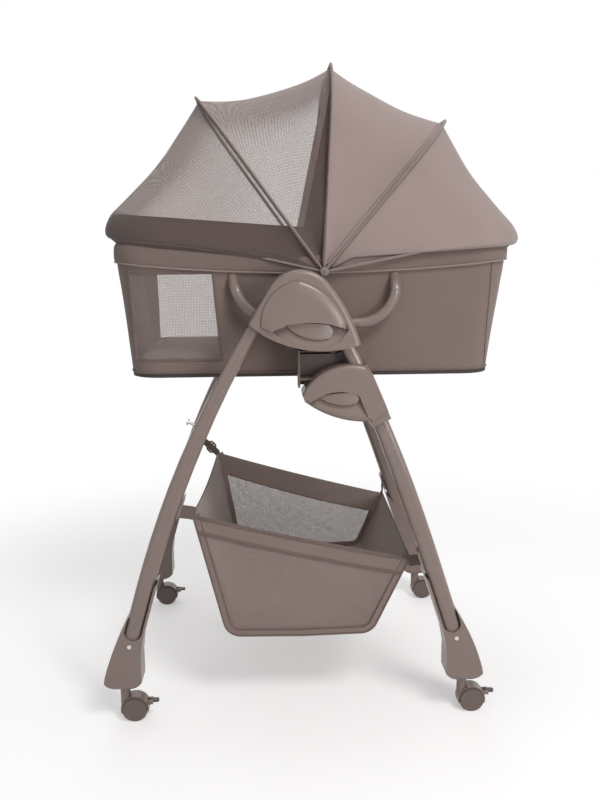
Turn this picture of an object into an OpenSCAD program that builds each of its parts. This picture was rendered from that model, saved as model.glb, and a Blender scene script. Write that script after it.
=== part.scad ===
// Bassinet on a folding four-caster stand.
// X runs along the bassinet, Y across it (the near side is -Y), Z is up. The origin lies on the
// floor under the middle of the bassinet. Millimetres.

/* [Bassinet] */
// Length of the bassinet over its top rim
rim_len = 780; // [700:2:860]
// Length of the bassinet at its base
base_len = 720; // [640:2:760]
// Width of the bassinet over its top rim
rim_wid = 412; // [380:2:430]
// Width of the bassinet at its base
base_wid = 392; // [360:2:400]
// Height of the bassinet's underside above the floor
base_z = 686; // [660:1:720]
// Height of the fabric wall from the base to the rim band at mid length
wall_h = 201; // [170:1:230]
// How much higher the rim is at its ends than at mid length
rim_rise = 23; // [0:1:40]
// Height of the rim band
band_h = 36; // [24:1:46]
// Thickness of the rim band
band_t = 13; // [9:0.5:16]
// Diameter of the steel rim tube inside the band
rim_tube_d = 8; // [6:0.5:8.5]
// Corner radius of the bassinet seen from above
corner_r = 70; // [40:1:100]
// Thickness of the fabric walls
cloth_t = 2; // [1.5:0.1:4]
// Thickness of the mattress
mattress_t = 30; // [20:1:50]
// Thickness of the base board
board_t = 8; // [4:0.5:12]
// How far the base stands off the middle of the rim along X
base_shift = -4; // [-15:1:0]
// Height of the mesh windows
window_h = 170; // [120:1:175]
// Length of each mesh window
window_len = 157; // [100:2:200]
// Distance from the bassinet's left end to the mesh windows
window_inset = 14; // [8:1:60]

/* [Canopy] */
// Place of the canopy pivot along X
pivot_x = 19; // [0:1:40]
// Height of the canopy pivot above the floor
pivot_z = 890; // [880:1:896]
// Angle of the canopy's five hoops from the +X side
hoop_angles = [167, 126, 87, 49.5, 11]; // five angles, from left to right
// Reach of the five hoops from the pivot
hoop_reach = [446, 417, 400, 384, 412]; // five lengths, from left to right
// Diameter of the hoop wire
hoop_d = 5; // [4:0.5:6]
// Bend radius of the hoops' upper corners
hoop_bend = 120; // [80:5:150]
// Distance from one hoop's end plate to the next on the pivot stud
plate_pitch = 2.7; // [2.4:0.1:3.2]
// Thickness of a hoop's end plate
plate_t = 2.2; // [1.6:0.1:2.2]
// Thickness of the canopy cloth
canopy_t = 1.6; // [1:0.1:2.5]
// How far each of the four panels sags between its hoops
canopy_sag = [27, 38, 22, 18]; // four depths, from left to right

/* [Stand] */
// Place of the stand's centre line along X
stand_x = -47; // [-80:1:0]
// Distance between the left and right feet, centre to centre
foot_span = 684; // [620:2:720]
// Room between the bassinet's rim and a leg's inner face
side_room = 44; // [40:1:64]
// Depth of a leg tube across the bassinet
leg_d = 40; // [34:1:44]
// Width of a leg tube in its lower half
leg_w = 33; // [28:1:36]
// Width of a leg tube at its upper end
leg_top_w = 24; // [20:1:28]
// Wall of a leg tube
leg_wall = 1.6; // [1.2:0.1:2.5]
// Lean of a left leg's straight lower end from upright, in degrees
left_lean = 16; // [14:0.5:18]
// Height at which a left leg begins to bow inwards
left_bow_z = 265; // [240:1:300]
// Radius of a left leg's bow
left_bow_r = 2200; // [2100:10:2600]
// Lean of a right leg's straight lower end from upright, in degrees
right_lean = 18; // [16:0.5:19]
// Height at which a right leg begins to bow inwards
right_bow_z = 331; // [300:1:360]
// Radius of a right leg's bow
right_bow_r = 4010; // [3800:10:4600]
// Height of the seam between a left leg's lower and upper tube
left_seam_z = 342; // [320:1:400]
// Height of the seam between a right leg's lower and upper tube
right_seam_z = 252; // [240:1:290]
// Height of the left legs' fold pivot
fold_z = 834; // [828:1:838]
// Distance of the left legs' fold pivot left of the stand's centre line
fold_x = 29; // [24:1:32]
// Diameter of the fold pivot pins
fold_pin_d = 12; // [8:0.5:14]

/* [Hub] */
// Radius of the hub's round crown
crown_r = 67; // [65:1:72]
// Height of the centre of the crown
crown_z = 830; // [826:1:836]
// Distance of the crown's centre right of the stand's centre line
crown_x = 17.7; // [14:0.1:22]
// Wall of the hub's shell
hub_wall = 3; // [2:0.5:4]
// Thickness of the hub's front wall at its edge
hub_front = 12; // [11:0.5:14]
// How far the cover stands proud of the hub's face
cover_proud = 8; // [5:0.5:10]
// Width of the rounding along the cover's edge
cover_round = 22; // [12:1:26]
// Width of the rounding along the edges of the hub and the lock housings
edge_round = 10; // [6:0.5:12]
// Travel of the release and fold buttons
button_travel = 4; // [2:0.5:4.5]

/* [Feet and casters] */
// Height of a foot's underside above the floor
foot_z = 71; // [68:1:90]
// Width of a foot at its widest
foot_w = 75; // [66:1:80]
// Depth of a foot across the bassinet
foot_d = 50; // [46:1:58]
// Height of the top of a foot's inner rail
shoe_top = 305; // [280:1:308]
// Height of the top of a foot's outer rail
rail_top = 216; // [205:1:240]
// Diameter of a caster wheel
wheel_d = 50; // [40:1:56]
// Width of one of a caster's two wheels
wheel_w = 14; // [10:1:16]
// Trail of the wheels behind the caster's stem
trail = 19; // [14:1:24]
// Diameter of a caster's stem
stem_d = 11; // [8:0.5:12]
// Diameter of a caster's axle
axle_d = 6; // [5:0.5:8]

/* [Basket] */
// Reach of the basket's left straps from their clips, along X
left_strap_run = 19; // [10:0.5:60]
// Reach of the basket's right straps from their clips, along X
right_strap_run = 13; // [8:0.5:50]
// Width of the basket at its floor
basket_floor_w = 288; // [240:2:320]
// Gap between the basket's sides and the legs' inner faces
basket_room = 8; // [6:1:30]
// Height of the basket's floor above the stand's floor
basket_floor_z = 170; // [150:1:200]
// Height of the basket's left rim
basket_left_z = 418; // [400:1:430]
// Height of the basket's right rim
basket_right_z = 318; // [310:1:330]
// Thickness of the basket's cloth
basket_t = 3; // [2:0.5:4]

/* [Fits] */
// Clearance between parts that seat on each other
seat = 0.3; // [0.2:0.05:0.5]
// Radial clearance between a pin and its bore
running = 0.05; // [0.02:0.01:0.1]

/* [Hidden] */
$fn = 48;

body_brown = [0.47, 0.41, 0.39];
steel_brown = [0.50, 0.44, 0.42];
dark_brown = [0.33, 0.28, 0.27];
cloth_brown = [0.44, 0.38, 0.36];
net_brown = [0.62, 0.56, 0.54, 0.6];
pale = [0.85, 0.83, 0.8];

leg_in = rim_wid / 2 + side_room;
leg_out = leg_in + leg_d;
leg_y = leg_in + leg_d / 2;
foot_x = foot_span / 2;
foot_mid_z = 110;
tube_bottom_z = 172;
crown = [crown_x, crown_z];
fold_at = [-fold_x, fold_z];

// ---------- plane geometry ----------
function unit_at(a) = [cos(a), sin(a)];

// Centre of the circle through three points
function circle_centre(a, b, c) =
    let (d = 2 * (a[0] * (b[1] - c[1]) + b[0] * (c[1] - a[1]) + c[0] * (a[1] - b[1])),
         qa = a * a, qb = b * b, qc = c * c)
    [(qa * (b[1] - c[1]) + qb * (c[1] - a[1]) + qc * (a[1] - b[1])) / d,
     (qa * (c[0] - b[0]) + qb * (a[0] - c[0]) + qc * (b[0] - a[0])) / d];

function turn(a) = a - 360 * floor(a / 360);

// Points on the arc that starts at a, passes b and ends at c
function arc_through(a, b, c, n = 10) =
    let (o = circle_centre(a, b, c), r = norm(a - o),
         a0 = atan2(a[1] - o[1], a[0] - o[0]),
         to_b = turn(atan2(b[1] - o[1], b[0] - o[0]) - a0),
         to_c = turn(atan2(c[1] - o[1], c[0] - o[0]) - a0),
         sweep = to_b < to_c ? to_c : to_c - 360)
    [for (i = [0:n]) o + r * unit_at(a0 + sweep * i / n)];

function arc_points(o, r, a0, a1, n = 10) = [for (i = [0:n]) o + r * unit_at(a0 + (a1 - a0) * i / n)];

// ---------- placing ----------
// An outline in the X-Z plane, given thickness across the stand on the near side
module plate(inner, outer) {
    translate([0, -inner, 0]) rotate([90, 0, 0]) linear_extrude(outer - inner) children();
}

// A round bar across the stand on the near side
module bar(at, d, inner, outer) {
    translate([at[0], -inner, at[1]]) rotate([90, 0, 0]) cylinder(d = d, h = outer - inner);
}

module at_stand() {
    translate([stand_x, 0, 0]) children();
}

module far_side() {
    mirror([0, 1, 0]) children();
}

module both_sides() {
    children();
    far_side() children();
}

// A swept solid: one ring of points per station, closed at both ends
module loft(rings) {
    n = len(rings[0]);
    m = len(rings);
    points = [for (ring = rings) each ring];
    sides = [for (i = [0:m - 2]) for (j = [0:n - 1])
        [i * n + j, (i + 1) * n + j, (i + 1) * n + (j + 1) % n, i * n + (j + 1) % n]];
    caps = [[for (j = [0:n - 1]) j], [for (j = [n - 1:-1:0]) (m - 1) * n + j]];
    polyhedron(points, concat(sides, caps), convexity = 6);
}

// A sheet between an outer and an inner grid of points, closed along its four edges
module sheet(outer, inner) {
    m = len(outer);
    n = len(outer[0]);
    b = m * n;
    points = concat([for (row = outer) each row], [for (row = inner) each row]);
    skins = [for (i = [0:m - 2]) for (j = [0:n - 2]) let (q = i * n + j)
        each [[q, q + 1, q + n + 1, q + n], [b + q, b + q + n, b + q + n + 1, b + q + 1]]];
    ends = [for (j = [0:n - 2]) let (q = (m - 1) * n + j)
        each [[j + 1, j, b + j, b + j + 1], [q, q + 1, b + q + 1, b + q]]];
    edges = [for (i = [0:m - 2]) let (q = i * n, r = i * n + n - 1)
        each [[q, q + n, b + q + n, b + q], [r + n, r, b + r, b + r + n]]];
    polyhedron(points, concat(skins, ends, edges), convexity = 8);
}

// A swept ring: the last station joins the first
module loft_ring(rings) {
    n = len(rings[0]);
    m = len(rings);
    points = [for (ring = rings) each ring];
    polyhedron(points, [for (i = [0:m - 1]) for (j = [0:n - 1])
        [i * n + j, i * n + (j + 1) % n, ((i + 1) % m) * n + (j + 1) % n, ((i + 1) % m) * n + j]],
        convexity = 6);
}

function rounded_box(w, d, r, k = 3) = [
    for (c = [[1, 1, 0], [-1, 1, 90], [-1, -1, 180], [1, -1, 270]]) for (i = [0:k])
        [c[0] * (w / 2 - r), c[1] * (d / 2 - r)] + r * unit_at(c[2] + 90 * i / k)];

// ---------- legs ----------
// A leg's lean below its bow, the height where the bow begins and its radius
left_leg = [left_lean, left_bow_z, left_bow_r];
right_leg = [right_lean, right_bow_z, right_bow_r];
// The leg that the functions below describe
$leg = right_leg;

// Lean of the leg at height z and the distance of its centre line from the stand's centre line
function lean_at(z) = let (a = $leg[0], low = $leg[1], r = $leg[2])
    z < low ? a : asin(sin(a) + (z - low) / r);
function leg_x(z) = let (a = $leg[0], low = $leg[1], r = $leg[2])
    z < low ? foot_x - (z - foot_mid_z) * tan(a)
    : foot_x - (low - foot_mid_z) * tan(a) - r * (cos(a) - cos(lean_at(z)));
taper_z = 500;
leg_top_z = 787;
function leg_w_at(z) = z < taper_z ? leg_w
    : leg_w + (leg_top_w - leg_w) * (z - taper_z) / (leg_top_z - taper_z);

// A point beside the leg's centre line, off it by the given distance outwards
function beside_leg(z, off) = [leg_x(z) + off * cos(lean_at(z)), z + off * sin(lean_at(z))];

function leg_stations(low, high, n) = [for (i = [0:n]) low + (high - low) * i / n];

module leg_loft(low, high, n, w_less, d) {
    loft([for (z = leg_stations(low, high, n))
        let (a = lean_at(z), c = [leg_x(z), z])
        [for (p = rounded_box(leg_w_at(z) - w_less, d, 9 - w_less / 2))
            [c[0] + p[0] * cos(a), -leg_y + p[1], c[1] + p[0] * sin(a)]]]);
}

// A leg's bowed tube, with a fine groove round it at the seam
seam_w = 1.2;
seam_depth = 0.4;
module leg_tube(top, seam_z) {
    difference() {
        leg_loft(tube_bottom_z, top, 12, 0, leg_d);
        leg_loft(tube_bottom_z - 1, top + 1, 12, 2 * leg_wall, leg_d - 2 * leg_wall);
        difference() {
            leg_loft(seam_z - seam_w / 2, seam_z + seam_w / 2, 1, -2, leg_d + 2);
            leg_loft(seam_z - seam_w, seam_z + seam_w, 1, 2 * seam_depth, leg_d - 2 * seam_depth);
        }
    }
}

// The leg's silhouette with a clearance, for the housings that it passes through
function leg_outline(low, high, gap, n = 8) = concat(
    [for (z = leg_stations(low, high, n)) beside_leg(z, leg_w_at(z) / 2 + gap)],
    [for (z = leg_stations(high, low, n)) beside_leg(z, -leg_w_at(z) / 2 - gap)]);

left_top_z = leg_top_z;
right_top_z = 776;

module near_right_leg() {
    color(steel_brown) at_stand() leg_tube(right_top_z, right_seam_z);
}

module near_left_leg() {
    $leg = left_leg;
    color(steel_brown) at_stand() mirror([1, 0, 0]) leg_tube(left_top_z, left_seam_z);
}

// The moulded knuckle on top of a left leg, which turns on the fold pin
knuckle_r = 21.5;
spigot_len = 60;
spigot_d = 24;
module near_left_knuckle() {
    $leg = left_leg;
    spigot_w = leg_top_w - 2 * leg_wall - 2 * seat;
    neck_top = beside_leg(left_top_z + seat, 0);
    neck_w = leg_top_w - 4;
    neck = [for (s = [-1, 1]) beside_leg(left_top_z + seat, s * neck_w / 2)];
    pivot = [fold_x, fold_z];
    away = pivot - neck_top;
    side = [away[1], -away[0]] / norm(away) * neck_w / 2;
    color(body_brown) at_stand() mirror([1, 0, 0]) {
        difference() {
            plate(leg_in, leg_out) union() {
                translate(pivot) circle(knuckle_r);
                polygon([neck[1], neck[0], pivot - side, pivot + side]);
            }
            bar(pivot, fold_pin_d + 2 * running, leg_in - 1, leg_out + 1);
        }
        plate(leg_y - spigot_d / 2, leg_y + spigot_d / 2)
            polygon(concat(
                [for (z = leg_stations(left_top_z + seat, left_top_z - spigot_len, 4))
                    beside_leg(z, spigot_w / 2)],
                [for (z = leg_stations(left_top_z - spigot_len, left_top_z + seat, 4))
                    beside_leg(z, -spigot_w / 2)]));
    }
}

// ---------- hub ----------
hub_in = leg_in - seat - hub_wall - 1.7;
hub_face = leg_out + seat + hub_front;
shoulder_a = 149;
shoulder_len = 1.13 * crown_r;
flank_a = 40;
flank_r = 4.48 * crown_r;
flank_end = 15.4;
flank_o = crown - (flank_r - crown_r) * unit_at(flank_a);
shoulder_dir = unit_at(shoulder_a + 90);
mouth_left = crown + crown_r * unit_at(shoulder_a) + shoulder_len * shoulder_dir;
mouth_right = mouth_left + crown_r * [0.4, -0.3];
flank_tip = flank_o + flank_r * unit_at(flank_end);

// A point of the hub's face, in crown radii from the crown's centre
function on_hub(u, v) = crown + crown_r * [u, v];

function hub_edge(inset) = concat(
    arc_points(crown, crown_r - inset, shoulder_a, flank_a, 16),
    arc_points(flank_o, flank_r - inset, flank_a, flank_end, 6));

function hub_outline() = concat(
    [mouth_left], hub_edge(0), arc_through(flank_tip, on_hub(0.35, -1.2), mouth_right, 12));

// The hollow of the shell, open below so that the legs can enter and fold
function hub_hollow() = concat(
    [mouth_left + [hub_wall, 0] + shoulder_dir * shoulder_len * 0.3], hub_edge(hub_wall),
    [flank_tip + crown_r * [0.12, -0.667], [mouth_left[0], on_hub(0, -1.95)[1]]]);

// The rounding of a face's edge as [distance from the arc's centre, height of the face]: a
// quarter ellipse, wide along the face and shallow in depth
round_steps = 9;
function edge_curve(r, top, wide, deep) = [for (i = [0:round_steps]) let (a = 90 * i / round_steps)
    [r - wide + wide * sin(a), top - deep + deep * cos(a)]];
// What the rounding takes off
module off_edge(r, top, wide, deep) {
    polygon(concat([[r + 1, top - deep], [r + 1, top + 1], [r - wide, top + 1]],
        edge_curve(r, top, wide, deep)));
}
// A profile turned about an axis across the stand, from angle a0 to angle a1
module turned_about(o, a0, a1) {
    translate([o[0], 0, o[1]]) rotate([90, 0, 0]) rotate([0, 0, min(a0, a1)])
        rotate_extrude(angle = abs(a1 - a0), $fn = 240) children();
}
// Takes the edge off along an arc through three points
module round_off_arc(arc, top, wide, deep) {
    o = circle_centre(arc[0], arc[1], arc[2]);
    from = arc[0] - o;
    to = arc[2] - o;
    a0 = atan2(from[1], from[0]);
    turned = turn(atan2(to[1], to[0]) - a0);
    turned_about(o, a0, a0 + (turned > 180 ? turned - 360 : turned))
        off_edge(norm(from), top, wide, deep);
}
// A disc whose front edge is rounded, about the centre of an arc through three points
module rounded_disc(arc, top, wide, deep) {
    o = circle_centre(arc[0], arc[1], arc[2]);
    r = norm(arc[0] - o);
    turned_about(o, 0, 360) polygon(concat([[0, 0], [0, top]], edge_curve(r, top, wide, deep), [[r, 0]]));
}

// The hub's cover and the recess below it
cover_arc_a = [on_hub(-1.106, -0.53), on_hub(-0.905, 0.21), on_hub(-0.034, 0.718)];
cover_arc_b = [on_hub(-0.034, 0.718), on_hub(0.77, 0.265), on_hub(1.301, -0.639)];
lip_arc = [on_hub(1.301, -0.639), on_hub(0.06, -0.43), on_hub(-0.797, -0.652)];
function cover_outline() = concat(
    arc_through(cover_arc_a[0], cover_arc_a[1], cover_arc_a[2], 12),
    arc_through(cover_arc_b[0], cover_arc_b[1], cover_arc_b[2], 12),
    arc_through(lip_arc[0], lip_arc[1], lip_arc[2], 12));
function recess_outline() = concat(
    arc_through(lip_arc[2], lip_arc[1], lip_arc[0], 12),
    arc_through(on_hub(1.05, -0.97), on_hub(0.2, -1.1), lip_arc[2], 10));

// A button's outline: a pointed left tip, a nearly straight top, a blunt right end and a bowed
// underside, given as [tip, top, upper corner, right, lower corner, underside]
function button_outline(p) = concat(arc_through(p[0], p[1], p[2], 10),
    arc_through(p[2], p[3], p[4], 8), arc_through(p[4], p[5], p[0], 12));
// The same outline grown from its middle by a gap
function grown(pts, o, gap) = [for (p = pts) p + (p - o) / norm(p - o) * gap * 1.3];

hub_button = [on_hub(-0.434, -0.481), on_hub(0.184, -0.445), on_hub(0.661, -0.485),
    on_hub(0.87, -0.672), on_hub(0.661, -0.881), on_hub(0.064, -0.813)];
hub_button_mid = on_hub(0.3, -0.65);
module hub_lens(gap) {
    polygon(grown(button_outline(hub_button), hub_button_mid, gap));
}

// Everything in front of a face that leans by the given angle, larger than any housing
cut_w = foot_span;
cut_d = 2 * leg_d;
module leaning_cut(z, depth, lean) {
    translate([0, -depth, z]) rotate([-lean, 0, 0])
        translate([-cut_w / 2, -cut_d, -crown_r]) cube([cut_w, cut_d, 2 * crown_r]);
}

// The domed front of a button, highest a little below the middle of its lens
button_dome_r = 200;
module button_dome(middle, top, below) {
    translate([middle[0], -top + button_dome_r, middle[1] - below]) sphere(r = button_dome_r, $fn = 240);
}

pocket_floor = leg_out + seat + 1;
button_rest = pocket_floor + button_travel + 0.2;
hub_top = hub_face + 4;
edge_deep = 8;
run_step = 0.02;
module near_hub_shell() {
    shoulder_end = mouth_left + 2 * shoulder_dir;
    color(body_brown) at_stand() difference() {
        plate(hub_in, hub_top) polygon(hub_outline());
        // the edge is rounded in three runs, which overlap and differ by a hair
        turned_about(crown, flank_a - 1, shoulder_a + 1) off_edge(crown_r, hub_top, edge_round, edge_deep);
        turned_about(flank_o, flank_end, flank_a)
            off_edge(flank_r + run_step, hub_top, edge_round, edge_deep);
        translate([shoulder_end[0], 0, shoulder_end[1]]) rotate([0, -shoulder_a, 0]) rotate([180, 0, 0])
            linear_extrude(shoulder_len + 2) off_edge(run_step, hub_top, edge_round, edge_deep);
        plate(leg_in - seat, leg_out + seat) polygon(hub_hollow());
        plate(hub_face - 2, hub_top + 1) polygon(cover_outline());
        intersection() {
            plate(hub_face - 9, hub_face + 20) polygon(recess_outline());
            leaning_cut(on_hub(0, -1.04)[1], hub_face + 2, 17);
        }
        plate(pocket_floor, hub_face + 20) hub_lens(seat);
        bar(fold_at, fold_pin_d + 2 * running, hub_in - 1, leg_out + seat + 6);
    }
}

module near_hub_cover() {
    color(body_brown) at_stand() intersection() {
        difference() {
            plate(hub_face - 2 + seat, hub_top + cover_proud) polygon(cover_outline_in());
            plate(pocket_floor, hub_top + cover_proud + 1) hub_lens(2 * seat);
        }
        rounded_disc(cover_arc_a, hub_top + cover_proud, cover_round, cover_proud - 0.5);
        rounded_disc(cover_arc_b, hub_top + cover_proud, cover_round, cover_proud - 0.5);
    }
}
// The cover's own edge, inside the shell's seam by the seat clearance
function cover_outline_in() =
    let (o = on_hub(0, -0.08), pts = cover_outline())
    [for (p = pts) p - (p - o) / norm(p - o) * seat * 1.4];

module near_release_button() {
    color(body_brown) at_stand() intersection() {
        plate(button_rest, hub_face + 20) hub_lens(0);
        button_dome(hub_button_mid, hub_face + 5, 8);
    }
}

// ---------- lock housing on a right leg ----------
lock_tip = [18.5, 666];
lock_w = 139;
// A point of the lock housing's face, in housing widths from its left tip
function on_lock(u, v) = lock_tip + lock_w * [u, v];
lock_top = [on_lock(0, 0.014), on_lock(0.244, 0.285), on_lock(0.858, 0.386)];
lock_low = [on_lock(0.94, -0.372), on_lock(0.427, -0.299), on_lock(0.04, -0.09)];
lock_in = leg_in - seat - 3;
lock_face = leg_out + seat + 7;
lock_recess_top = [on_lock(0.35, 0.027), on_lock(0.095, -0.105)];
sleeve_wall = 5;
sleeve_top = 716;
lock_button = [on_lock(0.218, -0.024), on_lock(0.514, 0.028), on_lock(0.716, 0.022),
    on_lock(0.761, -0.043), on_lock(0.716, -0.119), on_lock(0.486, -0.13)];
lock_button_mid = on_lock(0.55, -0.045);
function lock_outline() = concat(
    arc_through(lock_top[0], lock_top[1], lock_top[2], 12),
    [beside_leg(700, 20), beside_leg(666, 20), beside_leg(628, 20)],
    arc_through(lock_low[0], lock_low[1], lock_low[2], 12));
function lock_recess() = concat(
    arc_through(lock_recess_top[1], lock_recess_top[0], beside_leg(672, -19), 12),
    [beside_leg(640, -19), beside_leg(622, -19)],
    arc_through(on_lock(0.87, -0.305), on_lock(0.511, -0.27), lock_recess_top[1], 8));
module lock_lens(gap) {
    polygon(grown(button_outline(lock_button), lock_button_mid, gap));
}
lock_front = lock_face + 10;

module lock_housing() {
    difference() {
        union() {
            difference() {
                plate(lock_in, lock_front) polygon(lock_outline());
                round_off_arc(lock_top, lock_front, edge_round, edge_deep);
                round_off_arc(lock_low, lock_front, edge_round, edge_deep);
            }
            // The sleeve round the leg
            plate(lock_in, lock_front - 4) polygon(leg_outline(612, sleeve_top, sleeve_wall));
        }
        plate(leg_in - seat, leg_out + seat) polygon(leg_outline(590, 740, seat));
        intersection() {
            plate(lock_face - 4, lock_face + 30) polygon(lock_recess());
            leaning_cut(on_lock(0, -0.29)[1], lock_face + 7, 20);
        }
        plate(pocket_floor, lock_face + 30) lock_lens(seat);
    }
}

module lock_housings() {
    color(body_brown) at_stand() both_sides() lock_housing();
}

module near_fold_button() {
    color(body_brown) at_stand() intersection() {
        plate(button_rest, lock_face + 20) lock_lens(0);
        button_dome(lock_button_mid, lock_face + 8, 7);
    }
}

// ---------- carriage: open box between hub and lock housing, with the dock for the bassinet ----------
box_left = 12;
box_wall = 4;
box_low = 678;
box_high = 748;
box_out = leg_out - 4;
dock_x = 20;
dock_w = 60;
dock_in = rim_wid / 2 + 6;
dock_low = 742;
dock_high = 780;
tongue_w = 34;
tongue_d = 12;
tongue_y = (dock_in + hub_in) / 2;
lip_gap = 6;
module carriage() {
    back = leg_in - seat;
    difference() {
        union() {
            // back plate, left wall and floor of the box
            plate(back - 3, back)
                polygon([[box_left, box_low], [box_left, box_high], beside_leg(box_high, 0),
                         beside_leg(704, 0), [62, box_low]]);
            plate(back, box_out)
                translate([box_left, box_low]) square([box_wall, box_high - box_low]);
            plate(back, box_out)
                translate([box_left, box_low + 14]) square([60, box_wall]);
            // two lips under the hub
            for (z = [box_high - box_wall, box_high - box_wall - lip_gap])
                plate(back, leg_out - 14) translate([box_left + box_wall, z]) square([60, 1.6]);
            // gusset at the leg
            plate(back, leg_in + 10) polygon([
                beside_leg(box_high, -leg_w_at(box_high) / 2 - 12),
                    beside_leg(box_high, -leg_w_at(box_high) / 2 - seat),
                beside_leg(722, -leg_w_at(722) / 2 - seat), beside_leg(722, -leg_w_at(722) / 2 - 5)]);
        }
        // the lock housing's place, with the seat clearance on its top and its left tip
        for (d = [[0, seat], [-seat, 0]]) translate([d[0], 0, d[1]]) {
            plate(lock_in - 1, leg_out + 20) polygon(lock_outline());
            plate(lock_in - 1, leg_out + 20) polygon(leg_outline(612, sleeve_top, sleeve_wall + seat));
        }
    }
    difference() {
        plate(dock_in, hub_in) translate([dock_x - dock_w / 2, dock_low])
            square([dock_w, dock_high - dock_low]);
        plate(tongue_y - tongue_d / 2 - seat, tongue_y + tongue_d / 2 + seat)
            translate([dock_x - tongue_w / 2 - seat, dock_low + 5])
                square([tongue_w + 2 * seat, dock_high]);
    }
    // the web that joins the dock to the box's back plate
    plate(dock_in, back - 2) translate([box_left, box_high - 30]) square([44, 26]);
}
module carriages() {
    color(dark_brown) at_stand() both_sides() carriage();
}

// ---------- cross beam ----------
beam_d = 30;
beam_x = 70;
beam_z = 662;
module cross_beam() {
    color(steel_brown) at_stand() difference() {
        translate([beam_x, lock_in - seat, beam_z]) rotate([90, 0, 0])
            cylinder(d = beam_d, h = 2 * (lock_in - seat));
        translate([beam_x, lock_in + 1, beam_z]) rotate([90, 0, 0])
            cylinder(d = beam_d - 4, h = 2 * (lock_in + 1));
    }
}

// ---------- feet ----------
shoe_in = leg_y - foot_d / 2;
shoe_out = leg_y + foot_d / 2;
rail = 5;
screw_z = 167;
slot_low = 179;
slot_w = leg_w + 1;
function foot_pt(out, z) = [foot_x + out, z];
function shoe_outline() = concat(
    arc_through(foot_pt(-foot_w / 2, foot_z + 18), foot_pt(0, foot_z), foot_pt(foot_w / 2, foot_z + 17),
        12),
    arc_through(foot_pt(foot_w / 2 - 2, foot_z + 30), foot_pt(19, foot_z + 80),
        beside_leg(rail_top, leg_w / 2 + 1.6), 8),
    [beside_leg(shoe_top, -leg_w / 2 - rail), beside_leg(185, -leg_w / 2 - rail),
        foot_pt(-foot_w / 2, foot_z + 70)]);

// The side view of a foot: rounded toe and heel, straight rails
module foot_side_view() {
    translate([-leg_y, 0]) {
        translate([-foot_d / 2, foot_z + 14]) square([foot_d, shoe_top]);
        translate([-foot_d / 2 + 14, foot_z]) square([foot_d - 28, 20]);
        for (s = [-1, 1]) translate([s * (foot_d / 2 - 14), foot_z + 14]) circle(14);
    }
}

module shoe() {
    difference() {
        intersection() {
            plate(shoe_in, shoe_out) polygon(shoe_outline());
            rotate([90, 0, 90]) linear_extrude(foot_x + foot_w) foot_side_view();
        }
        // channel for the tube
        plate(leg_in - seat, leg_out + seat) polygon(leg_outline(tube_bottom_z - seat, shoe_top + 20,
            seat));
        // window in front that shows the tube
        plate(leg_out, shoe_out + 5) {
            polygon([beside_leg(slot_low + slot_w / 2, slot_w / 2), beside_leg(shoe_top + 20, slot_w / 2),
                     beside_leg(shoe_top + 20, -slot_w / 2),
                         beside_leg(slot_low + slot_w / 2, -slot_w / 2)]);
            translate(beside_leg(slot_low + slot_w / 2, 0)) circle(d = slot_w);
        }
        // socket of the caster's stem
        translate([foot_x, -leg_y, foot_z - 1]) cylinder(d = stem_d + 2 * running, h = stem_len + 3);
        // hole of the foot screw
        bar(beside_leg(screw_z, 0), screw_d + 2 * seat, shoe_out - 8, shoe_out + 5);
    }
}
screw_d = 5;
stem_len = 36;

module near_left_shoe() {
    $leg = left_leg;
    color(body_brown) at_stand() mirror([1, 0, 0]) shoe();
}
module right_shoes() {
    color(body_brown) at_stand() both_sides() shoe();
}

module foot_screw() {
    difference() {
        union() {
            bar(beside_leg(screw_z, 0), screw_d, shoe_out - 7, shoe_out);
            bar(beside_leg(screw_z, 0), 8, shoe_out, shoe_out + 1.2);
        }
        bar(beside_leg(screw_z, 0), 3, shoe_out + 0.3, shoe_out + 3);
    }
}
module near_left_screw() {
    $leg = left_leg;
    color(pale) at_stand() mirror([1, 0, 0]) foot_screw();
}
module fold_pin() {
    bar(fold_at, fold_pin_d, hub_in - 1.5, leg_out + seat + 5.5);
}
module stand_fixings() {
    color(pale) at_stand() both_sides() {
        foot_screw();
        fold_pin();
    }
}

// ---------- casters ----------
wheel_r = wheel_d / 2;
web_t = 5;
hood_r = wheel_r + 3;
hood_w = web_t + 2 * wheel_w - 7;
axle_len = web_t + 2 * (0.4 + wheel_w - 2 - seat);
neck_top = foot_z - seat;
neck_d = 20;
lever_w = 10;
ear_t = 3;
lever_at = [trail + hood_r + 5, wheel_r + 11];
lever_pin_d = 3.2;
module across(at, d, w) {
    translate([at[0], 0, at[1]]) rotate([90, 0, 0]) cylinder(d = d, h = w, center = true);
}
// A caster with its stem at the origin; the wheels trail towards +X
module caster_fork() {
    color(body_brown) {
        difference() {
            union() {
                across([trail, wheel_r], 2 * hood_r, hood_w);
                translate([0, 0, wheel_r]) cylinder(d = neck_d, h = neck_top - wheel_r);
                // ears of the brake lever
                for (s = [-1, 1]) translate([trail, s * (lever_w + ear_t + 2 * seat) / 2 - ear_t / 2,
                    wheel_r + 7])
                    cube([lever_at[0] - trail + 3, ear_t, 8]);
            }
            for (s = [-1, 1]) translate([0, s * (web_t + hood_w) / 2, 0])
                across([trail, wheel_r], 2 * wheel_r + 1.6, hood_w);
            translate([-4 * wheel_r, -4 * wheel_r, -wheel_r])
                cube([8 * wheel_r, 8 * wheel_r, 2 * wheel_r - 9]);
        }
        translate([0, 0, neck_top - 1]) cylinder(d = stem_d, h = stem_len + 1);
        across([trail, wheel_r], axle_d, axle_len);
        across(lever_at, lever_pin_d, lever_w + ear_t);
    }
}
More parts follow.
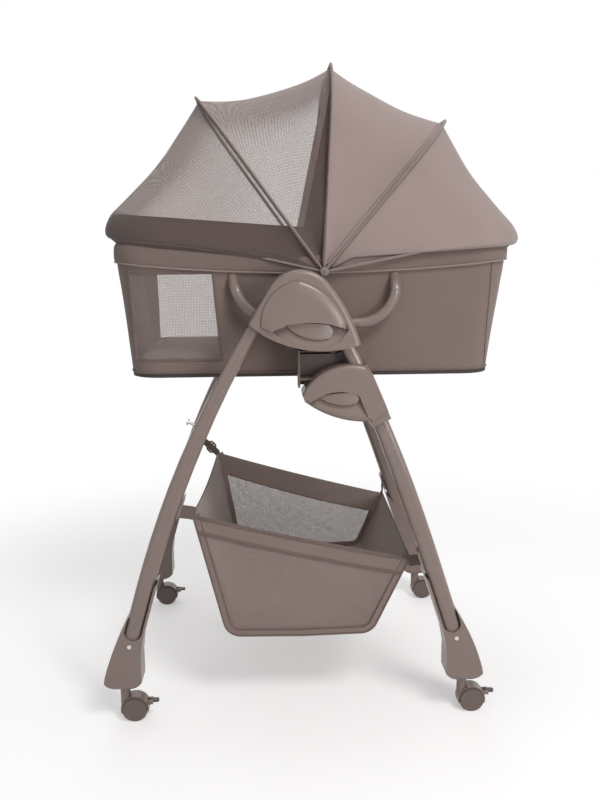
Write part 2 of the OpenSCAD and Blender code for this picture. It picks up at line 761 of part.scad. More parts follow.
module caster_wheels() {
    color(dark_brown) for (s = [-1, 1]) translate([trail, s * (web_t / 2 + 0.4), wheel_r])
        rotate([s * -90, 0, 0])
        difference() {
            union() {
                cylinder(r = wheel_r, h = wheel_w - 1.5);
                cylinder(r = wheel_r - 2, h = wheel_w);
            }
            translate([0, 0, -1]) cylinder(d = axle_d + 2 * running, h = wheel_w - 1);
        }
}
module caster_brake() {
    tab = 15;
    color(dark_brown) difference() {
        union() {
            across(lever_at, 8, lever_w);
            translate([lever_at[0], -lever_w / 2, lever_at[1] - 1]) cube([tab - lever_w / 2, lever_w, 5]);
            translate([lever_at[0] + tab - lever_w / 2, 0, lever_at[1] - 1]) cylinder(d = lever_w, h = 5);
        }
        across(lever_at, lever_pin_d + 2 * running, lever_w + 2);
    }
}
module at_stem(side) {
    translate([stand_x + side * foot_x, -leg_y, 0]) children();
}

// ---------- basket and its clips ----------
clip_left_z = 450;
clip_right_z = 332;
clip_len = 44;
clip_t = 5;
clip_w = 26;
clip_back = -leg_w / 2 - seat;
clip_face = clip_back - clip_t - seat;
module clip(z) {
    low = z - clip_len / 2;
    high = z + clip_len / 2;
    plate(leg_y - clip_w / 2, leg_y + clip_w / 2)
        polygon([beside_leg(low, clip_back), beside_leg(high, clip_back),
                 beside_leg(high - clip_t, clip_back - clip_t),
                     beside_leg(low + clip_t, clip_back - clip_t)]);
}

module near_left_clip() {
    $leg = left_leg;
    color(body_brown) at_stand() mirror([1, 0, 0]) clip(clip_left_z);
}
module right_clips() {
    color(body_brown) at_stand() both_sides() clip(clip_right_z);
}
// A webbing strap from a clip's face to a corner of the basket
strap_t = 4;
module strap(z, corner) {
    polygon([beside_leg(z + strap_t, clip_face), beside_leg(z - strap_t / 2, clip_face),
             corner + [0, -strap_t / 2], corner + [0, strap_t / 2]]);
}
module near_left_strap() {
    $leg = left_leg;
    color(cloth_brown) at_stand() mirror([1, 0, 0]) plate(basket_y + seat, leg_y + 11)
        strap(clip_left_z, [-basket_left, basket_left_z]);
}
module near_left_catch() {
    $leg = left_leg;
    pin_z = 600;
    color(pale) at_stand() mirror([1, 0, 0]) {
        c = beside_leg(pin_z, leg_w_at(pin_z) / 2);
        translate([c[0], -leg_y, c[1]]) rotate([0, 90 - lean_at(pin_z), 0]) {
            cylinder(d = 5, h = 14);
            translate([0, 0, 12]) cylinder(d = 11, h = 4);
        }
    }
}

// The basket's upper corners hang from the clips
function clip_x(z) = beside_leg(z, clip_face)[0];
basket_left = let ($leg = left_leg) left_strap_run - clip_x(clip_left_z);
basket_right = clip_x(clip_right_z) - right_strap_run;
basket_mid = (basket_left + basket_right) / 2;
basket_y = leg_in - basket_room;
function basket_outline(e) = [
    [basket_left + e * 1.1, basket_left_z + (e > 0 ? 20 : 0)],
    [basket_mid - basket_floor_w / 2 + e * 0.8, basket_floor_z + 14 + e * 0.6],
    [basket_mid - basket_floor_w / 2 + 14 + e * 0.5, basket_floor_z + e],
    [basket_mid + basket_floor_w / 2 - 14 - e * 0.5, basket_floor_z + e],
    [basket_mid + basket_floor_w / 2 - e * 0.8, basket_floor_z + 14 + e * 0.6],
    [basket_right - e * 1.1, basket_right_z + (e > 0 ? 20 : 0)]];
module basket() {
    color(cloth_brown) at_stand() difference() {
        plate(-basket_y, basket_y) polygon(basket_outline(0));
        plate(-basket_y + basket_t, basket_y - basket_t) polygon(basket_outline(basket_t));
    }
    // tabs that reach the clips on the right legs
    color(cloth_brown) at_stand() both_sides() plate(basket_y - 6, leg_y)
        strap(clip_right_z, [basket_right - 5, basket_right_z - 5]);
}

// ---------- bassinet ----------
// Height of the rim band's lower edge along the bassinet
function rim_low(x) = base_z + wall_h + rim_rise * pow(min(1, abs(x) / (rim_len / 2)), 2);

// The plan of the bassinet, as a ring of points
function plan(len, wid, r, k = 6) = [
    for (c = [[1, 1, 0], [-1, 1, 90], [-1, -1, 180], [1, -1, 270]]) each concat(
        [for (i = [0:k]) [c[0] * (len / 2 - r), c[1] * (wid / 2 - r)] + r * unit_at(c[2] + 90 * i / k)],
        c[1] == 1 && c[0] == 1 ? [for (x = [3:-1:-3]) [x * (len / 2 - r) / 4, wid / 2]] :
        c[1] == -1 && c[0] == -1 ? [for (x = [-3:3]) [x * (len / 2 - r) / 4, -wid / 2]] : [])];

function plan_at(e) = plan(rim_len - 2 * e, rim_wid - 2 * e, corner_r - e);
function to_3d(p, z) = [p[0], p[1], z];

// The band round the rim
module rim_band() {
    outer = plan_at(0);
    inner = plan_at(band_t);
    n = len(outer);
    color(cloth_brown) difference() {
        loft_ring([for (i = [0:n - 1]) let (z = rim_low(outer[i][0]))
            [to_3d(inner[i], z), to_3d(outer[i], z),
             to_3d(outer[i], z + band_h - 4), to_3d((outer[i] * 2 + inner[i]) / 3, z + band_h),
             to_3d((outer[i] + inner[i] * 2) / 3, z + band_h), to_3d(inner[i], z + band_h - 4)]]);
        rim_tube(seat);
    }
}
module rim_tube(gap) {
    mid = plan_at(band_t / 2);
    n = len(mid);
    loft_ring([for (i = [0:n - 1])
        let (z = rim_low(mid[i][0]) + band_h * 0.55, q = mid[(i + 1) % n] - mid[(i + n - 1) % n],
             out = [q[1], -q[0]] / norm(q))
        [for (a = [0:45:315]) let (s = (rim_tube_d / 2 + gap) * unit_at(a))
            [mid[i][0] + out[0] * s[0], mid[i][1] + out[1] * s[0], z + s[1]]]]);
}
module rim_frame() {
    color(steel_brown) rim_tube(0);
}

// The fabric wall: a ring that leans in towards the base, its two faces e_out and e_in inside its skin
wall_foot = base_z + board_t;
module wall_ring(e_out, e_in) {
    function foot(e) = plan(base_len - 2 * e, base_wid - 2 * e, corner_r - 10 - e);
    function top(e) = plan(rim_len - 8 - 2 * e, rim_wid - 8 - 2 * e, corner_r - 4 - e);
    fo = foot(e_out);
    fi = foot(e_in);
    to = top(e_out);
    ti = top(e_in);
    low = wall_foot + seat;
    shift = [base_shift, 0];
    loft_ring([for (i = [0:len(fo) - 1]) let (high = rim_low(to[i][0]) - seat)
        [to_3d(fi[i] + shift, low), to_3d(fo[i] + shift, low), to_3d(to[i], high), to_3d(ti[i], high)]]);
}
window_low = base_z + 34;
window_from = -base_len / 2 + base_shift + window_inset;
module window_box(gap) {
    translate([window_from - gap, -rim_wid, window_low - gap])
        cube([window_len + 2 * gap, 2 * rim_wid, window_h + 2 * gap]);
}
module tub() {
    color(cloth_brown) difference() {
        wall_ring(0, cloth_t);
        window_box(0);
    }
}
module mesh_windows() {
    color(net_brown) intersection() {
        wall_ring(0.4, cloth_t - 0.4);
        window_box(-seat);
    }
}
module base_board() {
    color(dark_brown) translate([base_shift, 0, base_z]) linear_extrude(board_t)
        polygon(plan(base_len, base_wid, corner_r - 10));
}
module mattress() {
    e = cloth_t + 1.5;
    color(cloth_brown) translate([base_shift, 0, wall_foot + seat]) linear_extrude(mattress_t)
        polygon(plan(base_len - 2 * e, base_wid - 2 * e, corner_r - 10 - e));
}

// The bent tube brackets on the bassinet's sides
bracket_d = 16;
bracket_y = rim_wid / 2 + 16;
left_bend = 100;
right_bend = 72;
bracket_left = -157;
bracket_right = 157;
bracket_low = 792;
bracket_top = 884;
module bracket_tube() {
    module quarter(x, bend, a) {
        translate([x, -bracket_y, bracket_low + bend]) rotate([90, 0, 0]) rotate([0, 0, a])
            rotate_extrude(angle = 90, $fn = 96) translate([bend, 0]) circle(d = bracket_d);
    }
    module upright(x, bend) {
        translate([x, -bracket_y, bracket_low + bend])
            cylinder(d = bracket_d, h = bracket_top - bracket_low - bend + 16);
    }
    quarter(bracket_left + left_bend, left_bend, 180);
    quarter(bracket_right - right_bend, right_bend, 270);
    translate([bracket_left + left_bend, -bracket_y, bracket_low]) rotate([0, 90, 0])
        cylinder(d = bracket_d, h = bracket_right - bracket_left - left_bend - right_bend);
    upright(bracket_left, left_bend);
    upright(bracket_right, right_bend);
}
module side_brackets() {
    color(steel_brown) both_sides() {
        bracket_tube();
        // flattened lugs that carry the rim tube
        for (x = [bracket_left, bracket_right]) translate([x - 11, -bracket_y, bracket_top + 4])
            cube([22, bracket_y - rim_wid / 2 - seat, 12]);
    }
}

// The tongues that drop into the docks
tongue_low = dock_low + 5 + seat;
module dock_tongues() {
    color(dark_brown) both_sides() difference() {
        union() {
            translate([stand_x + dock_x - tongue_w / 2, -tongue_y - tongue_d / 2, tongue_low])
                cube([tongue_w, tongue_d, bracket_low - tongue_low]);
            translate([stand_x + dock_x - 26, -bracket_y - 9.5, bracket_low - 10])
                cube([52, 19, 20]);
        }
        translate([stand_x + dock_x - 60, -bracket_y, bracket_low]) rotate([0, 90, 0])
            cylinder(d = bracket_d + 2 * running, h = 120);
    }
}

// ---------- canopy ----------
stack_in = rim_wid / 2 + 2.5;
wire_from = 50;
function plate_y(k) = stack_in + plate_pitch * k + plate_t / 2;
plate_r = 9;
stud_d = 6;
module canopy_pivots() {
    color(dark_brown) both_sides() {
        bar([pivot_x, pivot_z], stud_d, rim_wid / 2 + seat, plate_y(4) + plate_t / 2 + 1);
        bar([pivot_x, pivot_z], 2 * plate_r, rim_wid / 2 + seat, stack_in - seat);
        bar([pivot_x, pivot_z], 14, plate_y(4) + plate_t / 2 + 0.5, plate_y(4) + plate_t / 2 + 3);
    }
}
// A hoop lying in a plane through the pivots: local X is the reach, local Y runs across
module hoop(k) {
    y = plate_y(k);
    reach = hoop_reach[k] - hoop_d / 2;
    color(steel_brown) translate([pivot_x, 0, pivot_z]) rotate([0, -hoop_angles[k], 0]) {
        difference() {
            union() {
                for (s = [-1, 1]) {
                    translate([0, s * y, 0]) rotate([90, 0, 0])
                        cylinder(r = plate_r, h = plate_t, center = true);
                    translate([0, s * y - plate_t / 2, -4]) cube([24, plate_t, 8]);
                    translate([plate_r + 6, s * y, 0]) rotate([0, 90, 0])
                        cylinder(d = plate_t, h = wire_from);
                }
            }
            rotate([90, 0, 0]) cylinder(d = stud_d + 2 * running, h = 3 * y, center = true);
        }
        both_sides() {
            translate([wire_from, y, 0]) rotate([0, 90, 0])
                cylinder(d = hoop_d, h = reach - hoop_bend - wire_from);
            translate([reach - hoop_bend, y - hoop_bend, 0])
                rotate_extrude(angle = 90, $fn = 96) translate([hoop_bend, 0])
                    circle(d = hoop_d, $fn = 24);
        }
        translate([reach, 0, 0]) rotate([90, 0, 0])
            cylinder(d = hoop_d, h = 2 * (y - hoop_bend), center = true);
    }
}

// A cloth panel between hoops k and k + 1
panel_steps = 6;
panel_gap = hoop_d / 2 + seat;
panel_root = 60;
// The hoop's path as [reach, across], inset by e, at s from 0 (near root) to 1 (far root)
function hoop_path(reach, y, e, n) =
    let (r = hoop_bend - e, a = [reach - hoop_bend, y - hoop_bend])
    concat([[panel_root, -y + e]],
           [for (i = [0:n]) [a[0], -a[1]] + r * [sin(90 * i / n), -cos(90 * i / n)]],
           [for (i = [0:n]) [a[0], a[1]] + r * [cos(90 * i / n), sin(90 * i / n)]],
           [[panel_root, y - e]]);
function panel_ring(k, t, e) =
    let (reach = hoop_reach[k] * (1 - t) + hoop_reach[k + 1] * t - canopy_sag[k] * 4 * t * (1 - t),
         y = plate_y(2) - 3 * 4 * t * (1 - t))
    [for (p = hoop_path(reach, y, e, 4))
        let (trim = asin(panel_gap / p[0]), a = hoop_angles[k] - trim
                 + (hoop_angles[k + 1] - hoop_angles[k] + 2 * trim) * t)
        [pivot_x + p[0] * cos(a), p[1], pivot_z + p[0] * sin(a)]];
module panel(k) {
    sheet([for (i = [0:panel_steps]) panel_ring(k, i / panel_steps, 0)],
          [for (i = [0:panel_steps]) panel_ring(k, i / panel_steps, canopy_t)]);
}
module mesh_panel_left() {
    color(net_brown) panel(0);
}
module mesh_panel_right() {
    color(net_brown) panel(1);
}
module hood_panel_left() {
    color(cloth_brown) panel(2);
}
module hood_panel_right() {
    color(cloth_brown) panel(3);
}

near_hub_shell();
far_side() near_hub_shell();  // far_hub_shell
near_hub_cover();
far_side() near_hub_cover();  // far_hub_cover
near_release_button();
far_side() near_release_button();  // far_release_button
near_fold_button();
far_side() near_fold_button();  // far_fold_button
lock_housings();
carriages();
cross_beam();
stand_fixings();
near_left_leg();
far_side() near_left_leg();  // far_left_leg
near_right_leg();
far_side() near_right_leg();  // far_right_leg
near_left_knuckle();
far_side() near_left_knuckle();  // far_left_knuckle
near_left_shoe();
far_side() near_left_shoe();  // far_left_shoe
right_shoes();
near_left_screw();
far_side() near_left_screw();  // far_left_screw
at_stem(-1) caster_fork();  // near_left_fork
far_side() at_stem(-1) caster_fork();  // far_left_fork
at_stem(1) caster_fork();  // near_right_fork
far_side() at_stem(1) caster_fork();  // far_right_fork
at_stem(-1) caster_wheels();  // near_left_wheels
far_side() at_stem(-1) caster_wheels();  // far_left_wheels
at_stem(1) caster_wheels();  // near_right_wheels
far_side() at_stem(1) caster_wheels();  // far_right_wheels
at_stem(-1) caster_brake();  // near_left_brake
far_side() at_stem(-1) caster_brake();  // far_left_brake
at_stem(1) caster_brake();  // near_right_brake
far_side() at_stem(1) caster_brake();  // far_right_brake
near_left_clip();
far_side() near_left_clip();  // far_left_clip
right_clips();
near_left_strap();
far_side() near_left_strap();  // far_left_strap
near_left_catch();
basket();
rim_frame();
rim_band();
side_brackets();
dock_tongues();
tub();
mesh_windows();
base_board();
mattress();
canopy_pivots();
hoop(0);  // hoop_1
hoop(1);  // hoop_2
hoop(2);  // hoop_3
hoop(3);  // hoop_4
hoop(4);  // hoop_5
mesh_panel_left();
mesh_panel_right();
hood_panel_left();
hood_panel_right();
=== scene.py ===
# %% [markdown]
# A fabric bassinet that docks on a folding tube stand. The rigid pieces come ready made
# from the solid model; this script dresses them and makes every piece of cloth anew.
# Each step says what the piece is, how it could be made and why this way was taken.

import math

import bpy
import numpy as np
from mathutils import Matrix, Vector


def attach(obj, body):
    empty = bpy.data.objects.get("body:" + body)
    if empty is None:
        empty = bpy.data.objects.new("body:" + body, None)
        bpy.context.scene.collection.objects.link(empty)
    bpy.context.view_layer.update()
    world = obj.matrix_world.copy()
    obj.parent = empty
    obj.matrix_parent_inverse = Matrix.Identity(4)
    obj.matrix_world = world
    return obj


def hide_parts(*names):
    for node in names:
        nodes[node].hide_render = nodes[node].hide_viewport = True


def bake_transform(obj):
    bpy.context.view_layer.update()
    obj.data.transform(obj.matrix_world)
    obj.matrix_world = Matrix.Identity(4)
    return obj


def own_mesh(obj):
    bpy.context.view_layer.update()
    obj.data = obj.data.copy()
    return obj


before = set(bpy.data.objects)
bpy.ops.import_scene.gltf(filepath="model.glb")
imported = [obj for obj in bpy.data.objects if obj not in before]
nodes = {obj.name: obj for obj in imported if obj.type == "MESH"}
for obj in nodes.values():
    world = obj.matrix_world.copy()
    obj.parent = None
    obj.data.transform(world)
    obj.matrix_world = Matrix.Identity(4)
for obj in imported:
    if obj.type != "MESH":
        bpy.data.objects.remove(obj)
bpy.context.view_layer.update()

# %% [markdown]
# The camera comes first. It stands in front, a little above the rim, and looks slightly
# down. Its axes are worked out from a heading, a tilt and a roll, because three plain
# angles are easier to read and change than a rotation matrix.

# %% Camera
camera_at = np.array([-0.0899, -1.7879, 0.9464])
heading, tilt, roll = np.radians([2.21, 10.98, -0.50])
focal_in_image_heights = 815.0 / 800.0
sensor_mm = 36

ahead = np.array([math.sin(heading) * math.cos(tilt), math.cos(heading) * math.cos(tilt), -math.sin(tilt)])
level = np.array([math.cos(heading), -math.sin(heading), 0.0])
upright = np.cross(level, ahead)
image_right = level * math.cos(roll) + upright * math.sin(roll)
image_up = upright * math.cos(roll) - level * math.sin(roll)

lens = bpy.data.cameras.new("camera")
lens.sensor_width = sensor_mm
lens.lens = sensor_mm * focal_in_image_heights
camera = bpy.data.objects.new("camera", lens)
placed = np.eye(4)
placed[:3, :4] = np.stack([image_right, image_up, -ahead, camera_at], axis=1)
camera.matrix_world = Matrix(placed.tolist())
bpy.context.scene.collection.objects.link(camera)
bpy.context.scene.camera = camera
bpy.context.scene.view_settings.view_transform = "Standard"
print("camera", camera_at, "lens", round(lens.lens, 2), "mm")

# %% [markdown]
# A material is a small graph of nodes. Built by hand that is many lines of new node, set
# value, link; one helper does all three, so a whole material can be read at a glance.


# %% Shader node helpers
def add(tree, kind, settings=None, **sockets):
    """Adds one shader node. A keyword fills the input of that name (underscores stand for
    spaces, and _0 is the first input); a value is written on it, an output is linked to it."""
    made = tree.nodes.new(kind)
    for name, value in (settings or {}).items():
        setattr(made, name, value)
    for name, value in sockets.items():
        fill(tree, made, {int(name[1:]) if name[0] == "_" else name.replace("_", " "): value})
    return made


def fill(tree, node, values):
    """Writes values on a node's inputs, or links them where the value is another node's output."""
    for key, value in values.items():
        if isinstance(value, bpy.types.NodeSocket):
            tree.links.new(value, node.inputs[key])
        else:
            node.inputs[key].default_value = value


def maths(tree, operation, a, b=0.0, c=0.0):
    """One Math node; returns its output."""
    return add(tree, "ShaderNodeMath", {"operation": operation}, _0=a, _1=b, _2=c).outputs[0]


def linear(*srgb):
    """Screen colour 0..255 to the linear colour that shaders use: the sRGB curve undone."""
    c = np.array(srgb) / 255
    return (*np.where(c < 0.04045, c / 12.92, ((c + 0.055) / 1.055) ** 2.4), 1.0)


def white_behind(tree):
    """1 where a ray comes straight from the camera, a mirror or glass, and 0 elsewhere."""
    rays = add(tree, "ShaderNodeLightPath").outputs
    bounced = add(tree, "ShaderNodeMath", {"operation": "MAXIMUM"}, _0=rays["Is Glossy Ray"],
                  _1=rays["Is Transmission Ray"])
    return add(tree, "ShaderNodeMath", {"operation": "MAXIMUM"}, _0=rays["Is Camera Ray"],
               _1=bounced.outputs[0]).outputs[0]


print("node helpers ready")

# %% [markdown]
# The room is a white studio. Even light from all sides does most of the work, and the
# floor fades into the white behind it, so no horizon shows. The camera sees that white
# through Light Path, so the lamps never have to wash the object out, and close to the
# object the floor is plain matt paint that takes its soft shadow.

# %% World and floor
pure_white = (1, 1, 1, 1)
floor_half = 6.0
fade_from, fade_to = 0.7, 1.7

world = bpy.data.worlds.new("studio")
bpy.context.scene.world = world
world.use_nodes = True
sky = world.node_tree
sky.nodes.clear()
lit = add(sky, "ShaderNodeBackground", Color=(1, 0.99, 0.985, 1), Strength=0.22)
white = add(sky, "ShaderNodeBackground", Color=pure_white, Strength=1.0)
both = add(sky, "ShaderNodeMixShader", _0=white_behind(sky), _1=lit.outputs[0], _2=white.outputs[0])
add(sky, "ShaderNodeOutputWorld", Surface=both.outputs[0])

floor_paint = bpy.data.materials.new("floor")
floor_paint.use_nodes = True
paint_tree = floor_paint.node_tree
paint_tree.nodes.clear()
matt = add(paint_tree, "ShaderNodeBsdfDiffuse", Color=(0.90, 0.895, 0.89, 1))
lift = add(paint_tree, "ShaderNodeEmission", Color=pure_white, Strength=0.37)
lifted = add(paint_tree, "ShaderNodeAddShader", _0=matt.outputs[0], _1=lift.outputs[0])
far_white = add(paint_tree, "ShaderNodeEmission", Color=pure_white, Strength=1.0)
spot_on_floor = add(paint_tree, "ShaderNodeTexCoord").outputs["Object"]
from_middle = add(paint_tree, "ShaderNodeVectorMath", {"operation": "LENGTH"}, _0=spot_on_floor)
fade = add(paint_tree, "ShaderNodeMapRange", {"interpolation_type": "SMOOTHSTEP"},
           Value=from_middle.outputs["Value"], From_Min=fade_from, From_Max=fade_to)
near_or_far = add(paint_tree, "ShaderNodeMixShader", _0=fade.outputs[0], _1=lifted.outputs[0],
                  _2=far_white.outputs[0])
choose = add(paint_tree, "ShaderNodeMixShader", _0=white_behind(paint_tree), _1=matt.outputs[0],
             _2=near_or_far.outputs[0])
add(paint_tree, "ShaderNodeOutputMaterial", Surface=choose.outputs[0])

floor_mesh = bpy.data.meshes.new("floor")
floor_corners = [(x * floor_half, y * floor_half, 0) for x, y in ((-1, -1), (1, -1), (1, 1), (-1, 1))]
floor_mesh.from_pydata(floor_corners, [], [(0, 1, 2, 3)])
floor_mesh.materials.append(floor_paint)
floor = bpy.data.objects.new("floor", floor_mesh)
bpy.context.scene.collection.objects.link(floor)
print("floor", 2 * floor_half, "m wide, white from", fade_to, "m out")

# %% [markdown]
# Large area lamps give soft shadows. The key stands high on the right, a lower one lifts
# the legs, a weak fill opens the left side, and two lamps behind and above draw the rim.


# %% Lamps
def soft_lamp(name, at, aim, size, watts):
    """A square area lamp at one point, turned to face another."""
    lamp = bpy.data.lights.new(name, "AREA")
    lamp.size = size
    lamp.energy = watts
    made = bpy.data.objects.new(name, lamp)
    made.location = at
    towards = np.array(aim, float) - np.array(at, float)
    made.rotation_euler = Vector(towards).to_track_quat("-Z", "Y").to_euler()
    bpy.context.scene.collection.objects.link(made)


soft_lamp("key", (1.1, -2.0, 3.0), (0, 0, 0.75), 1.0, 42)
soft_lamp("low key", (1.5, -2.8, 1.0), (0, 0, 0.5), 1.0, 26)
soft_lamp("fill", (-2.2, -2.6, 1.5), (0, 0, 0.6), 2.0, 6)
soft_lamp("back", (-0.4, 2.6, 2.4), (0, 0, 0.9), 2.4, 14)
soft_lamp("top", (-0.2, 0.6, 3.4), (-0.2, 0.6, 0), 1.6, 18)
print(len(bpy.data.lights), "lamps")

# %% [markdown]
# Patterns that several finishes share are node groups: a plain weave, an open net,
# a row of stitches, the fine grain of moulded plastic and the slow mottle that every
# large surface has. They put out only numbers, so each material stays easy to read.


# %% Groups for shared patterns
def pattern(name, inputs, outputs):
    """A new shader node group with float or vector inputs and float outputs."""
    group = bpy.data.node_groups.new(name, "ShaderNodeTree")
    for title, kind, value in inputs:
        made = group.interface.new_socket(title, in_out="INPUT", socket_type="NodeSocket" + kind)
        if kind == "Float":
            made.default_value = value
    for title in outputs:
        group.interface.new_socket(title, in_out="OUTPUT", socket_type="NodeSocketFloat")
    return group, group.nodes.new("NodeGroupInput").outputs, group.nodes.new("NodeGroupOutput").inputs


def threads(tree, vector, pitch):
    """The two thread directions of a cloth: sin(pi u / pitch) and sin(pi v / pitch)."""
    parts = add(tree, "ShaderNodeSeparateXYZ", Vector=vector)
    turn = maths(tree, "DIVIDE", math.pi, pitch)
    return [maths(tree, "SINE", maths(tree, "MULTIPLY", parts.outputs[i], turn)) for i in (0, 1)]


print("pattern makers ready")

# %% [markdown]
# In plain weave warp and weft cross like a chessboard, which is the product of the two
# sines. A little noise stands for slubs, the thick places of spun yarn. An open net has
# holes where both threads are far away, so its cover follows the smaller of the two; the
# threads are uneven, so stretched noise changes their width along the way.

# %% Weave and net
weave, given, result = pattern(
    "plain weave", [("Vector", "Vector", 0), ("Pitch", "Float", 0.0011)], ["Height", "Tone"])
warp, weft = threads(weave, given["Vector"], given["Pitch"])
crossing = maths(weave, "MULTIPLY_ADD", maths(weave, "MULTIPLY", warp, weft), 0.5, 0.5)
slub = add(weave, "ShaderNodeTexNoise", Vector=given["Vector"], Scale=420.0, Detail=2.0).outputs["Fac"]
height = maths(weave, "MULTIPLY_ADD", slub, 0.5, crossing)
tone = maths(weave, "MULTIPLY_ADD", crossing, 0.5, maths(weave, "MULTIPLY", slub, 0.5))
weave.links.new(height, result["Height"])
weave.links.new(tone, result["Tone"])

net, given, result = pattern(
    "open net", [("Vector", "Vector", 0), ("Pitch", "Float", 0.0030), ("Thread", "Float", 0.25)],
    ["Cover", "Height"])
slow_way, fast_way, soft_edge = 60.0, 700.0, 0.12
streaks = []
for stretch in ((slow_way, fast_way, 1.0), (fast_way, slow_way, 1.0)):
    turned = add(net, "ShaderNodeMapping", Vector=given["Vector"], Scale=stretch).outputs[0]
    streaks.append(add(net, "ShaderNodeTexNoise", Vector=turned, Scale=1.0, Detail=1.0).outputs["Fac"])
uneven = maths(net, "MULTIPLY_ADD", maths(net, "ADD", *streaks), 0.6, 0.4)
thread = maths(net, "MULTIPLY", given["Thread"], uneven)
warp, weft = [maths(net, "ABSOLUTE", x) for x in threads(net, given["Vector"], given["Pitch"])]
from_thread = maths(net, "MINIMUM", warp, weft)
thread_edge = maths(net, "SINE", maths(net, "MULTIPLY", thread, math.pi / 2))
cover = add(net, "ShaderNodeMapRange", Value=maths(net, "SUBTRACT", from_thread, thread_edge),
            From_Min=soft_edge, From_Max=-soft_edge)
net.links.new(cover.outputs[0], result["Cover"])
net.links.new(maths(net, "SUBTRACT", 1.0, from_thread), result["Height"])
print("weave and net made")

# %% [markdown]
# A stitch row is a dashed line: on for two thirds of each stitch's length, and only close
# to the seam. Grain and mottle are plain noise, one fine for bump and one slow for colour.

# %% Stitches, grain and mottle
stitch, given, result = pattern(
    "stitches", [("Along", "Float", 0), ("Off", "Float", 0), ("Length", "Float", 0.0036),
                 ("Width", "Float", 0.0007)], ["Mask"])
phase = maths(stitch, "FRACT", maths(stitch, "DIVIDE", given["Along"], given["Length"]))
thread_on_top = maths(stitch, "LESS_THAN", phase, 0.68)
in_row = maths(stitch, "LESS_THAN", maths(stitch, "ABSOLUTE", given["Off"]), given["Width"])
stitch.links.new(maths(stitch, "MULTIPLY", thread_on_top, in_row), result["Mask"])

grain, given, result = pattern(
    "moulded grain", [("Vector", "Vector", 0), ("Scale", "Float", 900)], ["Height"])
fine = add(grain, "ShaderNodeTexNoise", Vector=given["Vector"], Scale=given["Scale"], Detail=2.0)
grain.links.new(fine.outputs["Fac"], result["Height"])

mottle, given, result = pattern(
    "mottle", [("Vector", "Vector", 0), ("Scale", "Float", 9), ("Depth", "Float", 0.08)], ["Shade"])
slow = add(mottle, "ShaderNodeTexNoise", Vector=given["Vector"], Scale=given["Scale"], Detail=3.0)
swing = maths(mottle, "MULTIPLY_ADD", slow.outputs["Fac"], 2.0, -1.0)
mottle.links.new(maths(mottle, "MULTIPLY_ADD", swing, given["Depth"], 1.0), result["Shade"])
print("patterns:", ", ".join(g.name for g in bpy.data.node_groups))

# %% [markdown]
# Finishes. Everything on the real product is one warm taupe, so the pieces are told
# apart by how they take light: satin mouldings, smoother painted tube, soft cloth with
# sheen and thin net. A Principled shader does them all; what feeds its colour and its
# normal is what differs.


# %% Building blocks of a finish
def principled(name, roughness, **sockets):
    """A material with one Principled shader; returns the material, its tree and the shader."""
    made = bpy.data.materials.new(name)
    made.use_nodes = True
    made.node_tree.nodes.clear()
    shader = add(made.node_tree, "ShaderNodeBsdfPrincipled", Roughness=roughness, **sockets)
    add(made.node_tree, "ShaderNodeOutputMaterial", Surface=shader.outputs[0])
    return made, made.node_tree, shader


def use(tree, group, **sockets):
    """Places a shared pattern in a material."""
    made = tree.nodes.new("ShaderNodeGroup")
    made.node_tree = group
    fill(tree, made, sockets)
    return made


def read_place(tree, space):
    """Where a surface point is, in the given space of the Texture Coordinate node."""
    return add(tree, "ShaderNodeTexCoord").outputs[space]


def picked(tree, factor, first, second):
    """One of two colours, by a factor from 0 to 1."""
    return add(tree, "ShaderNodeMix", {"data_type": "RGBA"}, _0=factor, _6=first, _7=second).outputs[2]


def shaded(tree, shader, colour, shade):
    """Base colour times a slowly varying shade."""
    grey = add(tree, "ShaderNodeCombineColor", Red=shade, Green=shade, Blue=shade)
    mixed = add(tree, "ShaderNodeMix", {"data_type": "RGBA", "blend_type": "MULTIPLY"}, _0=1.0, _6=colour,
                _7=grey.outputs[0])
    tree.links.new(mixed.outputs[2], shader.inputs["Base Color"])


def bumped(tree, shader, height, distance):
    """A Bump node of the given depth in metres feeds the shader's normal."""
    bump = add(tree, "ShaderNodeBump", Height=height, Distance=distance, Strength=1.0)
    tree.links.new(bump.outputs[0], shader.inputs["Normal"])


print("finish makers ready")

# %% [markdown]
# Moulded plastic has a fine eroded grain from its steel mould and an even colour. It is
# read at the object's own place, because the solids have no UV map. Coat adds the thin
# clear layer of paint, and the rivets and the pin are part metal.


# %% Mouldings and painted tube
def moulding(name, colour, roughness, grain_scale=900.0, grain_depth=0.00006, metal=0.0, coat=0.0):
    """Moulded plastic or paint: fine grain in the normal, a slight mottle in the colour."""
    made, tree, shader = principled(name, roughness)
    place = read_place(tree, "Object")
    shade = use(tree, mottle, Vector=place, Scale=14.0, Depth=0.05)
    shaded(tree, shader, linear(*colour), shade.outputs[0])
    bumped(tree, shader, use(tree, grain, Vector=place, Scale=grain_scale).outputs[0], grain_depth)
    shader.inputs["Metallic"].default_value = metal
    if coat:
        fill(tree, shader, {"Coat Weight": coat, "Coat Roughness": 0.22})
    return made


shell_finish = moulding("shell moulding", (129, 111, 104), 0.34, coat=0.25)
tube_finish = moulding("painted tube", (130, 112, 105), 0.30, 300.0, 0.00004, coat=0.35)
dark_finish = moulding("dark moulding", (92, 78, 73), 0.45)
wheel_finish = moulding("wheel moulding", (108, 93, 89), 0.5)
board_finish = moulding("base board", (58, 46, 42), 0.7)
rivet_finish = moulding("rivet", (226, 222, 218), 0.3, metal=0.35)
pin_finish = moulding("pin", (176, 163, 154), 0.28, metal=0.7)
print("seven hard finishes")

# %% [markdown]
# Woven cloth is matt, with the soft sheen of loose fibres at grazing angles. Its weave is
# read from the piece's own UV map, which is in metres, so the threads keep their size and
# follow every curve. A padded piece is remade by its simulation and loses its UV map;
# there the weave reads the object's own place instead.


